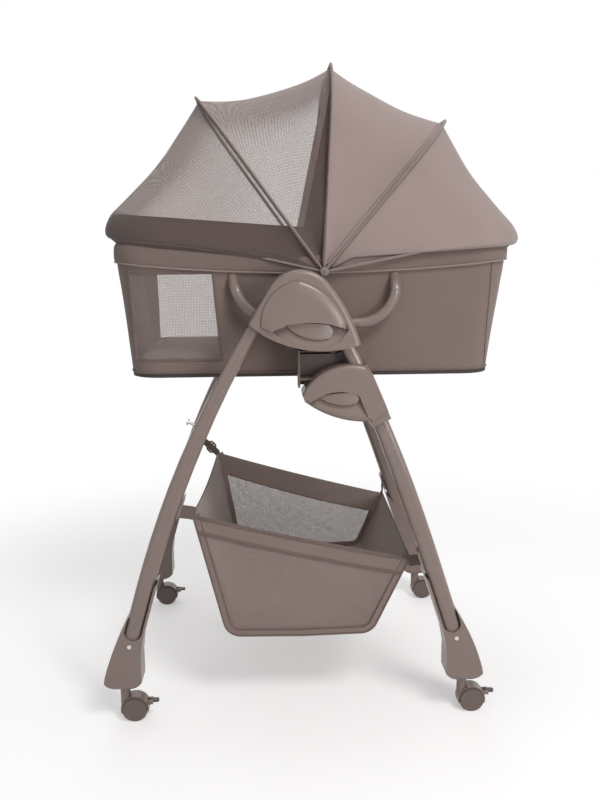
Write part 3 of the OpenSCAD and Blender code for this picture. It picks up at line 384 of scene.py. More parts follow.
# %% Cloths
def cloth(name, colour, pitch=0.0011, sheen=0.3, depth=0.00022, space="UV"):
    """Woven cloth of the given thread pitch; returns the material, its tree and the shader."""
    made, tree, shader = principled(name, 0.92, Sheen_Weight=sheen, Sheen_Roughness=0.5,
                                    Specular_IOR_Level=0.25)
    place = read_place(tree, space)
    woven = use(tree, weave, Vector=place, Pitch=pitch)
    slow = use(tree, mottle, Vector=place, Scale=7.0, Depth=0.07)
    tone = maths(tree, "MULTIPLY_ADD", woven.outputs["Tone"], 0.22, 0.86)
    shaded(tree, shader, linear(*colour), maths(tree, "MULTIPLY", tone, slow.outputs[0]))
    bumped(tree, shader, woven.outputs["Height"], depth)
    return made, tree, shader


wall_cloth = cloth("wall cloth", (131, 114, 107))[0]
band_cloth = cloth("band cloth", (127, 110, 104))[0]
tape_cloth = cloth("tape", (118, 101, 96), 0.0016)[0]
piping_cloth = cloth("piping", (152, 135, 129), 0.0014)[0]
basket_cloth = cloth("basket cloth", (142, 124, 117))[0]
basket_lining = cloth("basket lining", (172, 154, 147))[0]
webbing = cloth("webbing", (112, 96, 89), 0.0022, 0.2, 0.0005)[0]
sleeve_cloth = cloth("sleeve", (150, 133, 127), 0.0012)[0]
mattress_cloth = cloth("mattress jersey", (150, 133, 127), 0.0014, 0.5, 0.0003, space="Object")[0]
print("nine plain cloths")

# %% [markdown]
# The hood's cloth has a row of stitches beside its middle rib. An "edge" attribute on the
# mesh holds the distance to that rib, so the row stays with the seam as the cloth bends.

# %% Hood cloth
stitch_row_off = 0.0095
hood_cloth, hood_tree, hood_shader = cloth("hood cloth", (162, 144, 139), sheen=0.35)
from_rib = add(hood_tree, "ShaderNodeAttribute", {"attribute_name": "edge"}).outputs["Fac"]
run = add(hood_tree, "ShaderNodeSeparateXYZ", Vector=read_place(hood_tree, "UV")).outputs["X"]
row = use(hood_tree, stitch, Along=run, Off=maths(hood_tree, "SUBTRACT", from_rib, stitch_row_off),
          Length=0.0062, Width=0.0008)
plain_hood = hood_shader.inputs["Base Color"].links[0].from_socket
sewn = picked(hood_tree, row.outputs[0], plain_hood, linear(112, 97, 92))
hood_tree.links.new(sewn, hood_shader.inputs["Base Color"])
print(len(bpy.data.materials), "materials")

# %% [markdown]
# Every piece of cloth starts as lines of points. Distances along a line give the cloth
# its size in metres, evenly spaced points keep its quads regular, and a smooth step is
# the soft switch that fades one shape into another.


# %% Line helpers
def unit(v):
    """Vectors divided by their own length."""
    return v / np.maximum(np.linalg.norm(v, axis=-1, keepdims=True), 1e-9)


def line_length(line):
    """The sum of the lengths of a polyline's steps."""
    return float(np.linalg.norm(np.diff(line, axis=0), axis=1).sum())


def smooth_step(x):
    """3x^2 - 2x^3 between 0 and 1, flat outside."""
    x = np.clip(x, 0, 1)
    return x * x * (3 - 2 * x)


def resample(line, count):
    """The same polyline with its points evenly spaced along its length."""
    at = np.concatenate([[0], np.cumsum(np.linalg.norm(np.diff(line, axis=0), axis=1))])
    want = np.linspace(0, at[-1], count)
    return np.stack([np.interp(want, at, line[:, i]) for i in range(line.shape[1])], axis=-1)


def walked(points, axis):
    """Distance along one axis of a grid: the running sum of the steps, averaged over the other."""
    steps = np.linalg.norm(np.diff(points, axis=axis), axis=-1).mean(axis=1 - axis)
    return np.concatenate([[0.0], np.cumsum(steps)])


def oval(width, height, count=16):
    """An ellipse as an outline for swept."""
    a = np.linspace(0, 2 * np.pi, count, endpoint=False)
    return np.stack([np.cos(a) * width / 2, np.sin(a) * height / 2], axis=-1)


print("line helpers ready")

# %% [markdown]
# Two makers build all the cloth. The first turns a grid of points into a smooth surface
# with a UV map in metres. Writing the points with numpy keeps every seam where it was
# drawn, which subdividing a rough shape wouldn't.


# %% Grid to surface
def grid_quads(rows, columns, keep):
    """Corner numbers of the quads between neighbours of a grid; keep picks some of them."""
    i, j = np.meshgrid(np.arange(rows - 1), np.arange(columns - 1), indexing="ij")
    first = i * columns + j
    quads = np.stack([first, first + 1, first + columns + 1, first + columns], axis=-1)
    return quads.reshape(-1, 4) if keep is None else quads[keep]


def turned_outward(quads, flat, inside):
    """The quads, reversed if their area vectors point towards inside more than away from it."""
    corners = flat[quads]
    area = np.cross(corners[:, 2] - corners[:, 0], corners[:, 3] - corners[:, 1])
    centre = flat[np.unique(quads)].mean(axis=0) if inside is None else np.array(inside)
    facing = (area * (corners.mean(axis=1) - centre)).sum()
    return quads[:, ::-1] if facing < 0 else quads


def mark_borders(mesh):
    """Marks edges with one face as sharp, so thick cloth isn't shaded round its cut edge."""
    sides = np.empty(len(mesh.loops), int)
    mesh.loops.foreach_get("edge_index", sides)
    border = np.bincount(sides, minlength=len(mesh.edges)) == 1
    mesh.attributes.new("sharp_edge", "BOOLEAN", "EDGE").data.foreach_set("value", border)


def surface(name, grid, finish, loop=False, thick=0.0, inside=None, keep=None, uv=None, edge=None,
            lining=None):
    """A mesh over a grid of points. Quads join neighbours (and last to first column when
    loop is set), equal points are welded, and the faces are turned away from inside."""
    grid = np.asarray(grid, float)
    full = np.concatenate([grid, grid[:, :1]], axis=1) if loop else grid
    if uv is None:
        v, u = np.meshgrid(walked(full, 0), walked(full, 1), indexing="ij")
        uv = np.stack([u, v], axis=-1)
    flat = full.reshape(-1, 3)
    quads = turned_outward(grid_quads(*full.shape[:2], keep), flat, inside)
    rounded = np.round(flat[quads].reshape(-1, 3), 7)
    spots, first, back = np.unique(rounded, axis=0, return_index=True, return_inverse=True)
    name = name.replace(" ", "_")
    mesh = bpy.data.meshes.new(name)
    mesh.from_pydata(spots, [], back.reshape(-1, 4))
    mesh.uv_layers.new(name="UVMap").data.foreach_set("uv", uv.reshape(-1, 2)[quads].reshape(-1))
    rest = mesh.attributes.new("rest", "FLOAT_VECTOR", "POINT")
    rest.data.foreach_set("vector", spots.astype(np.float32).reshape(-1))
    if edge is not None:
        values = np.ascontiguousarray(edge.reshape(-1)[quads.reshape(-1)][first], np.float32)
        mesh.attributes.new("edge", "FLOAT", "POINT").data.foreach_set("value", values)
    mesh.polygons.foreach_set("use_smooth", np.ones(len(mesh.polygons), bool))
    mesh.validate()
    mark_borders(mesh)
    mesh.materials.append(finish)
    made = bpy.data.objects.new(name, mesh)
    bpy.context.scene.collection.objects.link(made)
    if thick:
        solid = made.modifiers.new("cloth thickness", "SOLIDIFY")
        solid.thickness = thick
        solid.offset = -1.0
        if lining:
            mesh.materials.append(lining)
            solid.material_offset = 1
    return made


print("surface maker ready")

# %% [markdown]
# The second maker sweeps a small outline along a line, for pipings, tapes, tubes and
# straps. A curve object with a bevel could do it, but its profile turns on its own where
# the curve bends in space; here each ring's upright direction is given.

# %% Outline along a line
round_end = np.radians([0, 35, 65])


def make_outward(made):
    """Turns a closed mesh right side out: its signed volume, the sum of a.(b x c) over the
    triangles, has to be positive."""
    mesh = made.data
    mesh.calc_loop_triangles()
    corner = np.empty(len(mesh.loop_triangles) * 3, int)
    mesh.loop_triangles.foreach_get("vertices", corner)
    spot = np.empty(len(mesh.vertices) * 3)
    mesh.vertices.foreach_get("co", spot)
    a, b, c = np.moveaxis(spot.reshape(-1, 3)[corner.reshape(-1, 3)], 1, 0)
    if (a * np.cross(b, c)).sum() < 0:
        mesh.flip_normals()


def end_rings(centre, ring, outwards, radius):
    """Ever smaller copies of an end ring, moved outwards by the cosine of a growing angle."""
    return [centre + (ring - centre) * math.sin(a) + outwards * radius * math.cos(a) * 0.5 for a in round_end]


def swept(name, path, outline, finish, up=(0, 0, 1), loop=False):
    """An outline of (side, up) points carried along a path. The frame at each point is the
    path's tangent, side = tangent x up, and up made square to both. Open ends are rounded."""
    path = np.asarray(path, float)
    outline = np.asarray(outline, float)
    step = np.roll(path, -1, axis=0) - np.roll(path, 1, axis=0) if loop else np.gradient(path, axis=0)
    tangent = unit(step)
    side = unit(np.cross(tangent, np.broadcast_to(up, path.shape)))
    top = np.cross(side, tangent)
    rings = path[:, None] + outline[None, :, :1] * side[:, None] + outline[None, :, 1:] * top[:, None]
    if loop:
        rings = np.concatenate([rings, rings[:1]])
    else:
        radius = np.abs(outline).min(axis=0).max() + np.abs(outline).max(axis=0).min()
        first = end_rings(path[:1, None], rings[:1], -tangent[:1, None], radius)
        last = end_rings(path[-1:, None], rings[-1:], tangent[-1:, None], radius)
        rings = np.concatenate(first + [rings] + last[::-1])
    made = surface(name, rings, finish, loop=True)
    make_outward(made)
    return made


print("sweep maker ready")

# %% [markdown]
# Every new piece has three facts besides its shape: its finish, the body it moves with,
# and the solid whose place it takes, if there is one. A sheet of cloth also prints what flat
# size it was cut from.


def joins(made, body, instead_of=None):
    """Gives a piece its body, and hides the solid that it stands for."""
    if instead_of:
        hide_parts(instead_of)
    if body:
        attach(made, body)


def cut_flat(made):
    """Prints a sheet's flat size, the span of its UV map, which is in metres, and its area, the
    sum of its faces' areas kept between 0.301 and 1 times width times length."""
    uv = np.empty(len(made.data.loops) * 2, np.float32)
    made.data.uv_layers[0].data.foreach_get("uv", uv)
    width, length = np.ptp(uv.reshape(-1, 2), axis=0).astype(float)
    area = np.empty(len(made.data.polygons), np.float32)
    made.data.polygons.foreach_get("area", area)
    area = float(min(max(area.sum(), 0.301 * width * length), width * length))
    print(made.name, "cut from", round(width, 3), "x", round(length, 3), "m, area", round(area, 4), "m2")


print("makers ready")

# %% [markdown]
# Open net lets the light through between its threads. Its alpha is the pattern's cover,
# and a hem or a strip of closed cloth can be marked on it by a mask; the closed part gets a
# dark colour of painted shade. The window and the basket have the net alone.


# %% Net finishes
def net_cloth(name, colour, closed_shade_colour, pitch, thread):
    """Net with a closed part coloured dark as painted shade. Returns the material, its tree, the node
    that takes the closed mask (1 where it is closed and shaded) and the node that takes the thread width."""
    made, tree, shader = principled(name, 0.85, Sheen_Weight=0.3, Specular_IOR_Level=0.25)
    place = read_place(tree, "UV")
    holes = use(tree, net, Vector=place, Pitch=pitch, Thread=thread)
    woven = use(tree, weave, Vector=place, Pitch=0.0011)
    closed = add(tree, "ShaderNodeMath", {"operation": "MAXIMUM"}, _0=0.0, _1=0.0)
    slow = use(tree, mottle, Vector=read_place(tree, "Object"), Scale=8.0, Depth=0.06)
    # The closed part's dark colour is painted shade, not the cloth's own colour.
    both = picked(tree, closed.outputs[0], linear(*colour), linear(*closed_shade_colour))
    shaded(tree, shader, both, slow.outputs[0])
    tree.links.new(maths(tree, "MAXIMUM", holes.outputs["Cover"], closed.outputs[0]), shader.inputs["Alpha"])
    height = add(tree, "ShaderNodeMix", {"data_type": "FLOAT"}, _0=closed.outputs[0],
                 _2=holes.outputs["Height"], _3=woven.outputs["Height"])
    bumped(tree, shader, height.outputs[0], 0.0003)
    return made, tree, closed, holes


window_net = net_cloth("window net", (168, 149, 143), (98, 83, 78), 0.0013, 0.26)[0]
basket_net = net_cloth("basket net", (154, 135, 129), (98, 83, 78), 0.0022, 0.54)[0]
print("window and basket net ready")

# %% [markdown]
# The canopy's net has a closed hem below and a closed strip beside the middle rib, both
# dark. The strip is painted shade: a closed sheet that stands for the unlit inside of the
# canopy seen through the net. The hem is closed cloth, and its dark colour is painted shade.
# Each is cut off by a straight line, and the line is read from the "rest" attribute, the
# piece's place before anything moves, so the pattern stays with the cloth when the canopy
# folds. The roof is seen at a flat angle, where its threads close up, so it gets wider
# ones than the side.


# %% Canopy net
def ramp(tree, value, low, high, at_low, at_high):
    """A smooth change between two values as another one goes from low to high."""
    made = add(tree, "ShaderNodeMapRange", {"interpolation_type": "SMOOTHSTEP"}, Value=value, From_Min=low,
               From_Max=high, To_Min=at_low, To_Max=at_high)
    return made.outputs[0]


hem_slope, hem_at_middle = -0.0772, 0.9725
shade_strip_slope, shade_strip_at_floor = 0.2068, -0.2204
thread_side, thread_end, thread_roof = 0.25, 0.33, 0.60

# The closed colour (95, 80, 75) is painted shade, put on the hem and on the strip beside the middle rib.
canopy_net, net_tree, closed, holes = net_cloth("canopy net", (172, 153, 147), (95, 80, 75), 0.0013, 0.26)
rest = add(net_tree, "ShaderNodeAttribute", {"attribute_name": "rest"})
spot = add(net_tree, "ShaderNodeSeparateXYZ", Vector=rest.outputs["Vector"]).outputs
hem_line = maths(net_tree, "MULTIPLY_ADD", spot["X"], hem_slope, hem_at_middle)
# Right of this line lies the strip beside the middle rib, a closed sheet of painted shade.
shade_strip_line = maths(net_tree, "MULTIPLY_ADD", spot["Z"], shade_strip_slope, shade_strip_at_floor)
net_tree.links.new(maths(net_tree, "LESS_THAN", spot["Z"], hem_line), closed.inputs[0])
net_tree.links.new(maths(net_tree, "GREATER_THAN", spot["X"], shade_strip_line), closed.inputs[1])
side_thread = ramp(net_tree, spot["X"], -0.06, -0.22, thread_side, thread_end)
off_middle = maths(net_tree, "ABSOLUTE", spot["Y"])
net_tree.links.new(ramp(net_tree, off_middle, 0.196, 0.110, side_thread, thread_roof), holes.inputs["Thread"])
print("canopy net ready")

# %% [markdown]
# The canopy. Five hoops turn about one pivot on each side. Each hoop is a straight leg,
# a rounded corner and a straight top, and it lies in a plane through the pivots. The
# cloth between two hoops is ruled: straight threads run from one hoop to the next, and
# the middle sinks a little where the cloth is slack.

# %% Hoop lines
pivot = np.array([0.019, 0.0, 0.890])
hoop_bodies = ["hoop_one", "hoop_two", "hoop_three", "hoop_four", "bassinet"]
hoop_angle = np.radians([167, 126, 87, 49.5, 11])
wire_radius = 0.0025
hoop_reach = np.array([0.446, 0.417, 0.400, 0.384, 0.412]) - wire_radius
hoop_side = 0.2096 + 0.0027 * np.arange(5)
hoop_bend = 0.120
sideways = np.array([0, 1.0, 0])


def hoop_flat(k, inset, root, count):
    """Points (reach, across) on hoop k, moved inwards by inset, from the near root over the
    top to the far root: leg, quarter circle, top, quarter circle, leg."""
    r, y, b = hoop_reach[k] - inset, hoop_side[k] - inset, hoop_bend - inset
    a = np.linspace(0, np.pi / 2, 30)
    corner = np.stack([r - b + b * np.sin(a), b - y - b * np.cos(a)], axis=-1)
    half = np.concatenate([[[root, -y]], corner, [[r, 0]]])
    return resample(np.concatenate([half, half[-2::-1] * [1, -1]]), count)


def hoop_line(k, inset=0.0, root=0.016, count=181):
    """Hoop k's line in space and, at each point, the direction away from the cloth's inside."""
    flat = hoop_flat(k, inset, root, count)
    reach = np.array([math.cos(hoop_angle[k]), 0, math.sin(hoop_angle[k])])
    step = unit(np.gradient(flat, axis=0))
    out = step[:, 1:] * reach - step[:, :1] * sideways
    return pivot + flat[:, :1] * reach + flat[:, 1:] * sideways, out


def from_pivot(line):
    """Each point's distance from the pivots' axis, as a column."""
    return np.linalg.norm((line - pivot)[:, [0, 2]], axis=1)[:, None]


for k in range(5):
    line, out = hoop_line(k)
    print(hoop_bodies[k], "line", round(line_length(line), 3), "m, highest", line[:, 2].max().round(3))

# %% [markdown]
# The rim below is a rounded rectangle in plan, and the canopy's cloth passes just outside
# its band. Two small formulas give the band's height and push points onto its outline.

# %% The rim in plan
rim_half = np.array([0.390, 0.206])
rim_radius = 0.070
band_low_middle, band_low_rise = 0.887, 0.023


def band_low(x):
    """Height of the rim band's lower edge, which rises as the square of the distance from mid length."""
    return band_low_middle + band_low_rise * np.minimum(1, np.abs(x) / rim_half[0]) ** 2


def onto_rim(plan, grow):
    """Points outside the rim's rounded rectangle are brought onto it, grown by a little."""
    away = np.abs(plan) - (rim_half - rim_radius)
    gap = np.linalg.norm(np.maximum(away, 0), axis=-1) + np.minimum(away.max(axis=-1), 0) - rim_radius - grow
    outer = unit(np.maximum(away, 0)) * np.sign(plan)
    return plan - np.maximum(gap, 0)[:, None] * outer


print("rim band from", band_low(0.0), "to", round(float(band_low(rim_half[0])), 3), "m high")

# %% [markdown]
# Below the two end hoops the cloth doesn't stop at the wire. It swells over it in a soft
# roll and turns in to the rim, where it ends in a hem. A Bezier curve at every station
# makes that roll, because its two inner handles say how full the cloth is.

# %% Canopy ends
on_wire, inside_wire = 0.0003, 0.0085
panel_slack = [0.011, 0.020, 0.012, 0.009]


def hem_height(k, x):
    """The canopy's lower edge: a slow parabola left of the pivot, a straight rise right of it."""
    if k == 0:
        away = np.abs(x - pivot[0])
        return 0.8912 + 0.2407 * away - 0.208 * away**2
    return 0.9115 + 0.0625 * x


def cloth_line(k):
    """The cloth's line along hoop k. High up it hangs well inside the wire; down the legs it
    comes out to the wire's own plane, so that it passes in front of the rim band."""
    line, out = hoop_line(k)
    inset = on_wire + (inside_wire - on_wire) * smooth_step((from_pivot(line) - 0.06) / 0.16)
    return line - out * inset, out


def tucked_row(line, rimmed, low):
    """The last row, behind the hem. It goes in over the band where the hem is above the band's
    top, and behind the wire's leg where the hem would stand above the wire."""
    band_top = band_low(rimmed[:, 0]) + 0.0355
    inside = smooth_step((low - band_top) / 0.004)
    on_band, over_band = onto_rim(line[:, :2], 0.0026), onto_rim(line[:, :2], -0.005)
    plan = on_band * (1 - inside[:, None]) + over_band * inside[:, None]
    behind_wire = np.where(low > line[:, 2] - 0.001, line[:, 2] - 0.0035, low + 0.004)
    return np.column_stack([plan, behind_wire * (1 - inside) + band_top * inside])


def end_rows(k, neighbour):
    """Rows of points from the panel's seam, over the end hoop's roll, to the tucked hem. The
    seam sits above the wire; the handles point along the panel and away from the rim."""
    line, out = hoop_line(k)
    other, out_other = cloth_line(neighbour)
    turn = hoop_angle[k]
    down = (1 if k == 0 else -1) * np.array([-math.sin(turn), 0, math.cos(turn)])
    reach = from_pivot(line)
    grown = smooth_step(reach / 0.28)
    rimmed = onto_rim(line[:, :2], 0.0042)
    overhang = np.linalg.norm(line[:, :2] - rimmed, axis=1)[:, None]
    endness = np.clip(overhang / 0.020, 0, 1)
    low = np.minimum(hem_height(k, rimmed[:, 0]), line[:, 2] + 0.5 * np.maximum(other[:, 2] - line[:, 2], 0))
    hem = np.column_stack([rimmed, low])
    seam_inset = on_wire + 0.005 * smooth_step((reach - 0.13) / 0.16) + 0.013 * endness
    seam = line - out * seam_inset - down * (0.003 + 0.022 * grown)
    seam[:, 2] = np.maximum(seam[:, 2], low + 0.3 * np.maximum(other[:, 2] - low, 0) * (1 - grown[:, 0]))
    away = unit(line[:, :2] - onto_rim(line[:, :2], -0.020))
    away = np.column_stack([away, np.zeros(len(away))])
    sagging = 4 * panel_slack[0 if k == 0 else 3] * smooth_step(reach / 0.45)
    first = seam + unit(seam - other + unit(out + out_other) * sagging) * 0.024 * grown
    last = hem + away * (0.003 + 0.004 * grown + 1.5 * overhang) + [0, 0, 0.001]
    t = np.linspace(0, 1, 15)[:, None, None]
    rows = seam * (1 - t) ** 3 + first * 3 * t * (1 - t) ** 2 + last * 3 * t**2 * (1 - t) + hem * t**3
    lip = hem - away * 0.001 - [0, 0, 0.0012]
    return np.concatenate([rows, lip[None], tucked_row(line, rimmed, low)[None]])


rolls = {0: end_rows(0, 1), 4: end_rows(4, 3)}
print("two rolls of", rolls[0].shape[:2], "points")

# %% [markdown]
# Each canopy panel hangs between two hoops. Its depth in the middle is what the outline
# shows: the second net panel
# is the slackest. Small ripples along the seams and slow folds across the middle keep it
# from looking like sheet metal.


# %% Canopy panels
def panel_points(k, low, high, out, rows):
    """Straight threads from hoop k's line to the next one's, sunk by a parabola of the
    panel's slack, by short ripples at the seams and by slow folds in the middle."""
    far = smooth_step(np.linalg.norm((low + high) / 2 - pivot, axis=-1) / 0.45)[None, :, None]
    slack = 4 * rows * (1 - rows) * panel_slack[k] * far
    free = [rows, 1, 1, 1 - rows][k]
    wave = np.sin(np.arange(len(low)) * 0.55 + 3 * k)[None, :, None]
    ripple = 0.0007 * wave * (2 * rows - 1) ** 6 * free
    folds = 0.0012 * np.sin(9 * rows + 2 * k + 4 * far) * np.sin(np.pi * rows) * far
    return low[None] * (1 - rows) + high[None] * rows - out * (slack + ripple * far + folds)


panels = (("canopy net left", "mesh_panel_left", canopy_net),
          ("canopy net right", "mesh_panel_right", canopy_net),
          ("hood left", "hood_panel_left", hood_cloth),
          ("hood right", "hood_panel_right", hood_cloth))
rows = np.linspace(0, 1, 25)[:, None, None]
for k, (title, node, finish) in enumerate(panels):
    (low, out_low), (high, out_high) = cloth_line(k), cloth_line(k + 1)
    low = rolls[0][0] if k == 0 else low
    high = rolls[4][0] if k == 3 else high
    grid = panel_points(k, low, high, unit(out_low + out_high)[None], rows)
    spread = np.linalg.norm(high - low, axis=-1)[None]
    along = np.broadcast_to(walked(grid, 1)[None], grid.shape[:2])
    made = surface(title, grid, finish, inside=(0.0, 0.0, 0.9), thick=0.0 if finish is canopy_net else 0.0011,
                   uv=np.stack([along, (rows[..., 0] - 0.5) * spread], axis=-1),
                   edge=(1 - rows[..., 0]) * spread if k == 2 else None)
    joins(made, None, node)
    (start, _), (end, _) = hoop_line(k), hoop_line(k + 1)
    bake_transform(made)
    cut_flat(made)

# %% [markdown]
# The rolls themselves, with a hem of piping along their lower edge. They ride with their
# own hoop, so the left one lifts off the rim when the canopy opens.

# %% Canopy rolls
for k, title, finish in ((0, "left", canopy_net), (4, "right", hood_cloth)):
    made = surface(f"canopy roll {title}", rolls[k], finish, inside=(0, 0, 0.94), thick=0.0010)
    joins(made, hoop_bodies[k])
    cut_flat(made)
    made = swept(f"canopy hem {title}", rolls[k][-2], oval(0.0026, 0.0026, 10), tape_cloth)
    joins(made, hoop_bodies[k])
print("rolls and hems made")

# %% [markdown]
# A sleeve of folded cloth carries each wire. The three middle ones stand proud of the
# canopy like a rib, with a thin dark welt at their foot on the side away from the light; that
# dark line is painted shadow of the rib. The end hoops show only as a slim sleeve near the
# pivot; further out it sinks below the roll that covers it.

# %% Hoop sleeves
rib_shape, slim_shape = oval(0.0054, 0.0120), oval(0.0048, 0.0048)
rib_inset = 0.0035
end_sleeves = {0: (-0.0020, 0.0130, 0.10), 4: (0.0025, 0.0085, 0.17)}
for k in range(5):
    if k in end_sleeves:
        inset, sinking, sinks_from = end_sleeves[k]
        line, out = hoop_line(k, inset, 0.006)
        line = line - out * sinking * smooth_step((from_pivot(line) - sinks_from) / 0.06)
    else:
        line, out = hoop_line(k, rib_inset, 0.006)
    shape = slim_shape if k in end_sleeves else rib_shape
    made = swept(f"hoop sleeve {k + 1}", line, shape, sleeve_cloth, up=out)
    joins(made, hoop_bodies[k], f"hoop_{k + 1}")
    if k not in end_sleeves:
        round_pivot = np.array([-math.sin(hoop_angle[k]), 0, math.cos(hoop_angle[k])])
        foot, out = cloth_line(k)
        # The welt is moved to the rib's shaded side: its dark line is painted shadow beside the rib.
        foot = foot + round_pivot * (-0.0026 if k == 3 else 0.0026) + out * 0.0004
        made = swept(f"hoop welt {k + 1}", foot, oval(0.0034, 0.0016, 12), tape_cloth, up=out)
        joins(made, hoop_bodies[k])
print("sleeves on five hoops, welts on three")

# %% [markdown]
# A domed cap closes each pivot. Its height over the stud is a power of the cosine of the
# angle from its middle, so it is flat in the middle and steep at its edge.

# %% Pivot caps
cap_radius, cap_height, cap_foot = 0.0085, 0.0050, 0.2212
a, b = np.meshgrid(np.linspace(0, np.pi / 2, 9), np.linspace(0, 2 * np.pi, 33))
for side, sign in (("near", -1), ("far", 1)):
    dome = np.stack([cap_radius * np.sin(a) * np.cos(b), sign * (cap_foot + cap_height * np.cos(a) ** 0.4),
                     cap_radius * np.sin(a) * np.sin(b)], axis=-1)
    made = surface(f"{side} pivot cap", pivot + dome, sleeve_cloth, inside=(pivot[0], 0, pivot[2]))
    joins(made, "bassinet")
print("caps on both pivots")

# %% [markdown]
# The rim band wraps the steel tube. Its section is a soft upright box, swept round the
# rounded rectangle of the rim with a fine piping at its lower edge. The same kind of
# outline serves the wall, the base and the mattress, so it has its own function.


# %% Rim band
def half_outline(length, width, radius, shift=0.0):
    """The near half of a rounded rectangle, from the middle of the left end to the middle of
    the right end, as a dense polyline."""
    a = np.linspace(0, np.pi / 2, 60)
    x, y = length / 2 - radius, width / 2 - radius
    left_corner = np.stack([-x - radius * np.cos(a), -y - radius * np.sin(a)], axis=-1)
    right_corner = np.stack([x + radius * np.sin(a), -y - radius * np.cos(a)], axis=-1)
    line = np.concatenate([[[-length / 2, 0]], left_corner, right_corner, [[length / 2, 0]]])
    return line + [shift, 0]


def whole(near):
    """A near half and its mirror image, as one closed ring without repeated points."""
    far = near[..., -2:0:-1, :] * ([1, -1] if near.shape[-1] == 2 else [1, -1, 1])
    return np.concatenate([near, far], axis=-2)


rim = whole(resample(half_outline(*2 * rim_half, rim_radius), 201))
rim_line = np.column_stack([rim, band_low(rim[:, 0])])
band_section = np.array([
    (-0.0105, 0.002), (-0.006, 0.0), (0, 0.001), (0.0012, 0.006), (0.0016, 0.013), (0.0014, 0.022),
    (0.0006, 0.029), (-0.0014, 0.034), (-0.0045, 0.0365), (-0.008, 0.0368), (-0.011, 0.0345),
    (-0.0128, 0.029), (-0.013, 0.018), (-0.0128, 0.008)])
joins(swept("rim band", rim_line, band_section, band_cloth, loop=True), "bassinet", "rim_band")
made = swept("band piping", rim_line + [0, 0, 0.0008], oval(0.0036, 0.0036, 12), piping_cloth, loop=True)
joins(made, "bassinet")
print("rim band round", len(rim), "stations")

# %% [markdown]
# The fabric wall stands between two rounded rectangles. Its columns are tied to the
# seams: the corner seams and the window's edges stay at their own x at every height, and
# the cloth between them is spread evenly.

# %% Wall columns and rows
wall_foot, window_low, window_high, wall_tuck, wall_full = 0.6946, 0.720, 0.890, 0.912, 0.905
corner_seam_left, window_left, window_right, corner_seam_right = -0.350, -0.179, -0.158, 0.343
window_lean = -0.016
foot_size = np.array([0.720, 0.392, 0.060])
growth_to_rim = np.array([0.052, 0.012, 0.006])
foot_shift = -0.004
spans = [30, 54, 14, 96, 30]
edges = np.cumsum([0] + spans)
levels = np.concatenate([np.linspace(wall_foot, window_low, 6), np.linspace(window_low, window_high, 27)[1:],
                         np.linspace(window_high, wall_tuck, 6)[1:]])
window_rows = slice(5, 31)


def wall_row(level):
    """The near half of the wall at one height, with its points between the seams spread evenly.
    Length, width and corner radius all grow in step with the height."""
    h = (level - wall_foot) / (wall_full - wall_foot)
    line = resample(half_outline(*(foot_size + growth_to_rim * h), foot_shift * (1 - h)), 1200)
    walk = np.linspace(0, 1, 1200)
    seams = [corner_seam_left - 0.006 * h, window_left + window_lean * h, window_right,
             corner_seam_right + 0.004 * h]
    stops = np.concatenate([[0], np.interp(seams, line[:, 0], walk), [1]])
    want = [np.linspace(stops[i], stops[i + 1], spans[i] + 1)[:-1] for i in range(5)]
    want = np.concatenate(want + [[1.0]])
    return np.stack([np.interp(want, walk, line[:, i]) for i in (0, 1)], axis=-1)


wall = np.stack([wall_row(level) for level in levels])
print("wall", wall.shape[:2], "points on the near half, window from column", edges[1], "to", edges[2])

# %% [markdown]
# Above the windows the rows bend to follow the rim band, whose height changes along the
# side. Then the cloth gets its life: it sinks a little between foot and rim, gathers
# beside the window's right edge and stands proud along the corner seams.

# %% Fabric wall
height = np.broadcast_to(levels[:, None], wall.shape[:2]).copy()
above = levels > window_high
climb = (levels[above, None] - window_high) / (wall_tuck - window_high)
height[above] = window_high + climb * (band_low(wall[above, :, 0]) + 0.012 - window_high)
column = np.arange(wall.shape[1])
h = ((levels - wall_foot) / (wall_full - wall_foot))[:, None]
full = np.sin(np.pi * np.clip(h, 0, 1))
beside_window = np.exp(-(((column - edges[2] - 5) / 5.0) ** 2))[None]
gather = beside_window * np.sin(np.arange(len(levels)) * 1.7)[:, None]
swell = (-0.0016 + 0.0010 * gather + 0.0007 * np.sin(column / 17.0 + 3 * h)) * full
for c in (edges[1], edges[4]):
    swell = swell + 0.0010 * np.exp(-(((column - c) / 0.8) ** 2))[None]
normal = unit(np.stack([np.gradient(wall[..., 1], axis=1), -np.gradient(wall[..., 0], axis=1)], axis=-1))
grid = whole(np.concatenate([wall + normal * swell[..., None], height[..., None]], axis=-1))
count = grid.shape[1]
keep = np.ones((len(levels) - 1, count), bool)
keep[window_rows, edges[1]:edges[2]] = False
keep[window_rows, count - edges[2]:count - edges[1]] = False
made = surface("fabric wall", grid, wall_cloth, loop=True, thick=0.0018, inside=(0, 0, 0.8), keep=keep)
joins(made, "bassinet", "tub")
cut_flat(made)

# %% [markdown]
# The windows are net, each in a folded binding tape. A flat oval swept round the window's
# edge makes the tape; the corner seams and the base get a round piping.

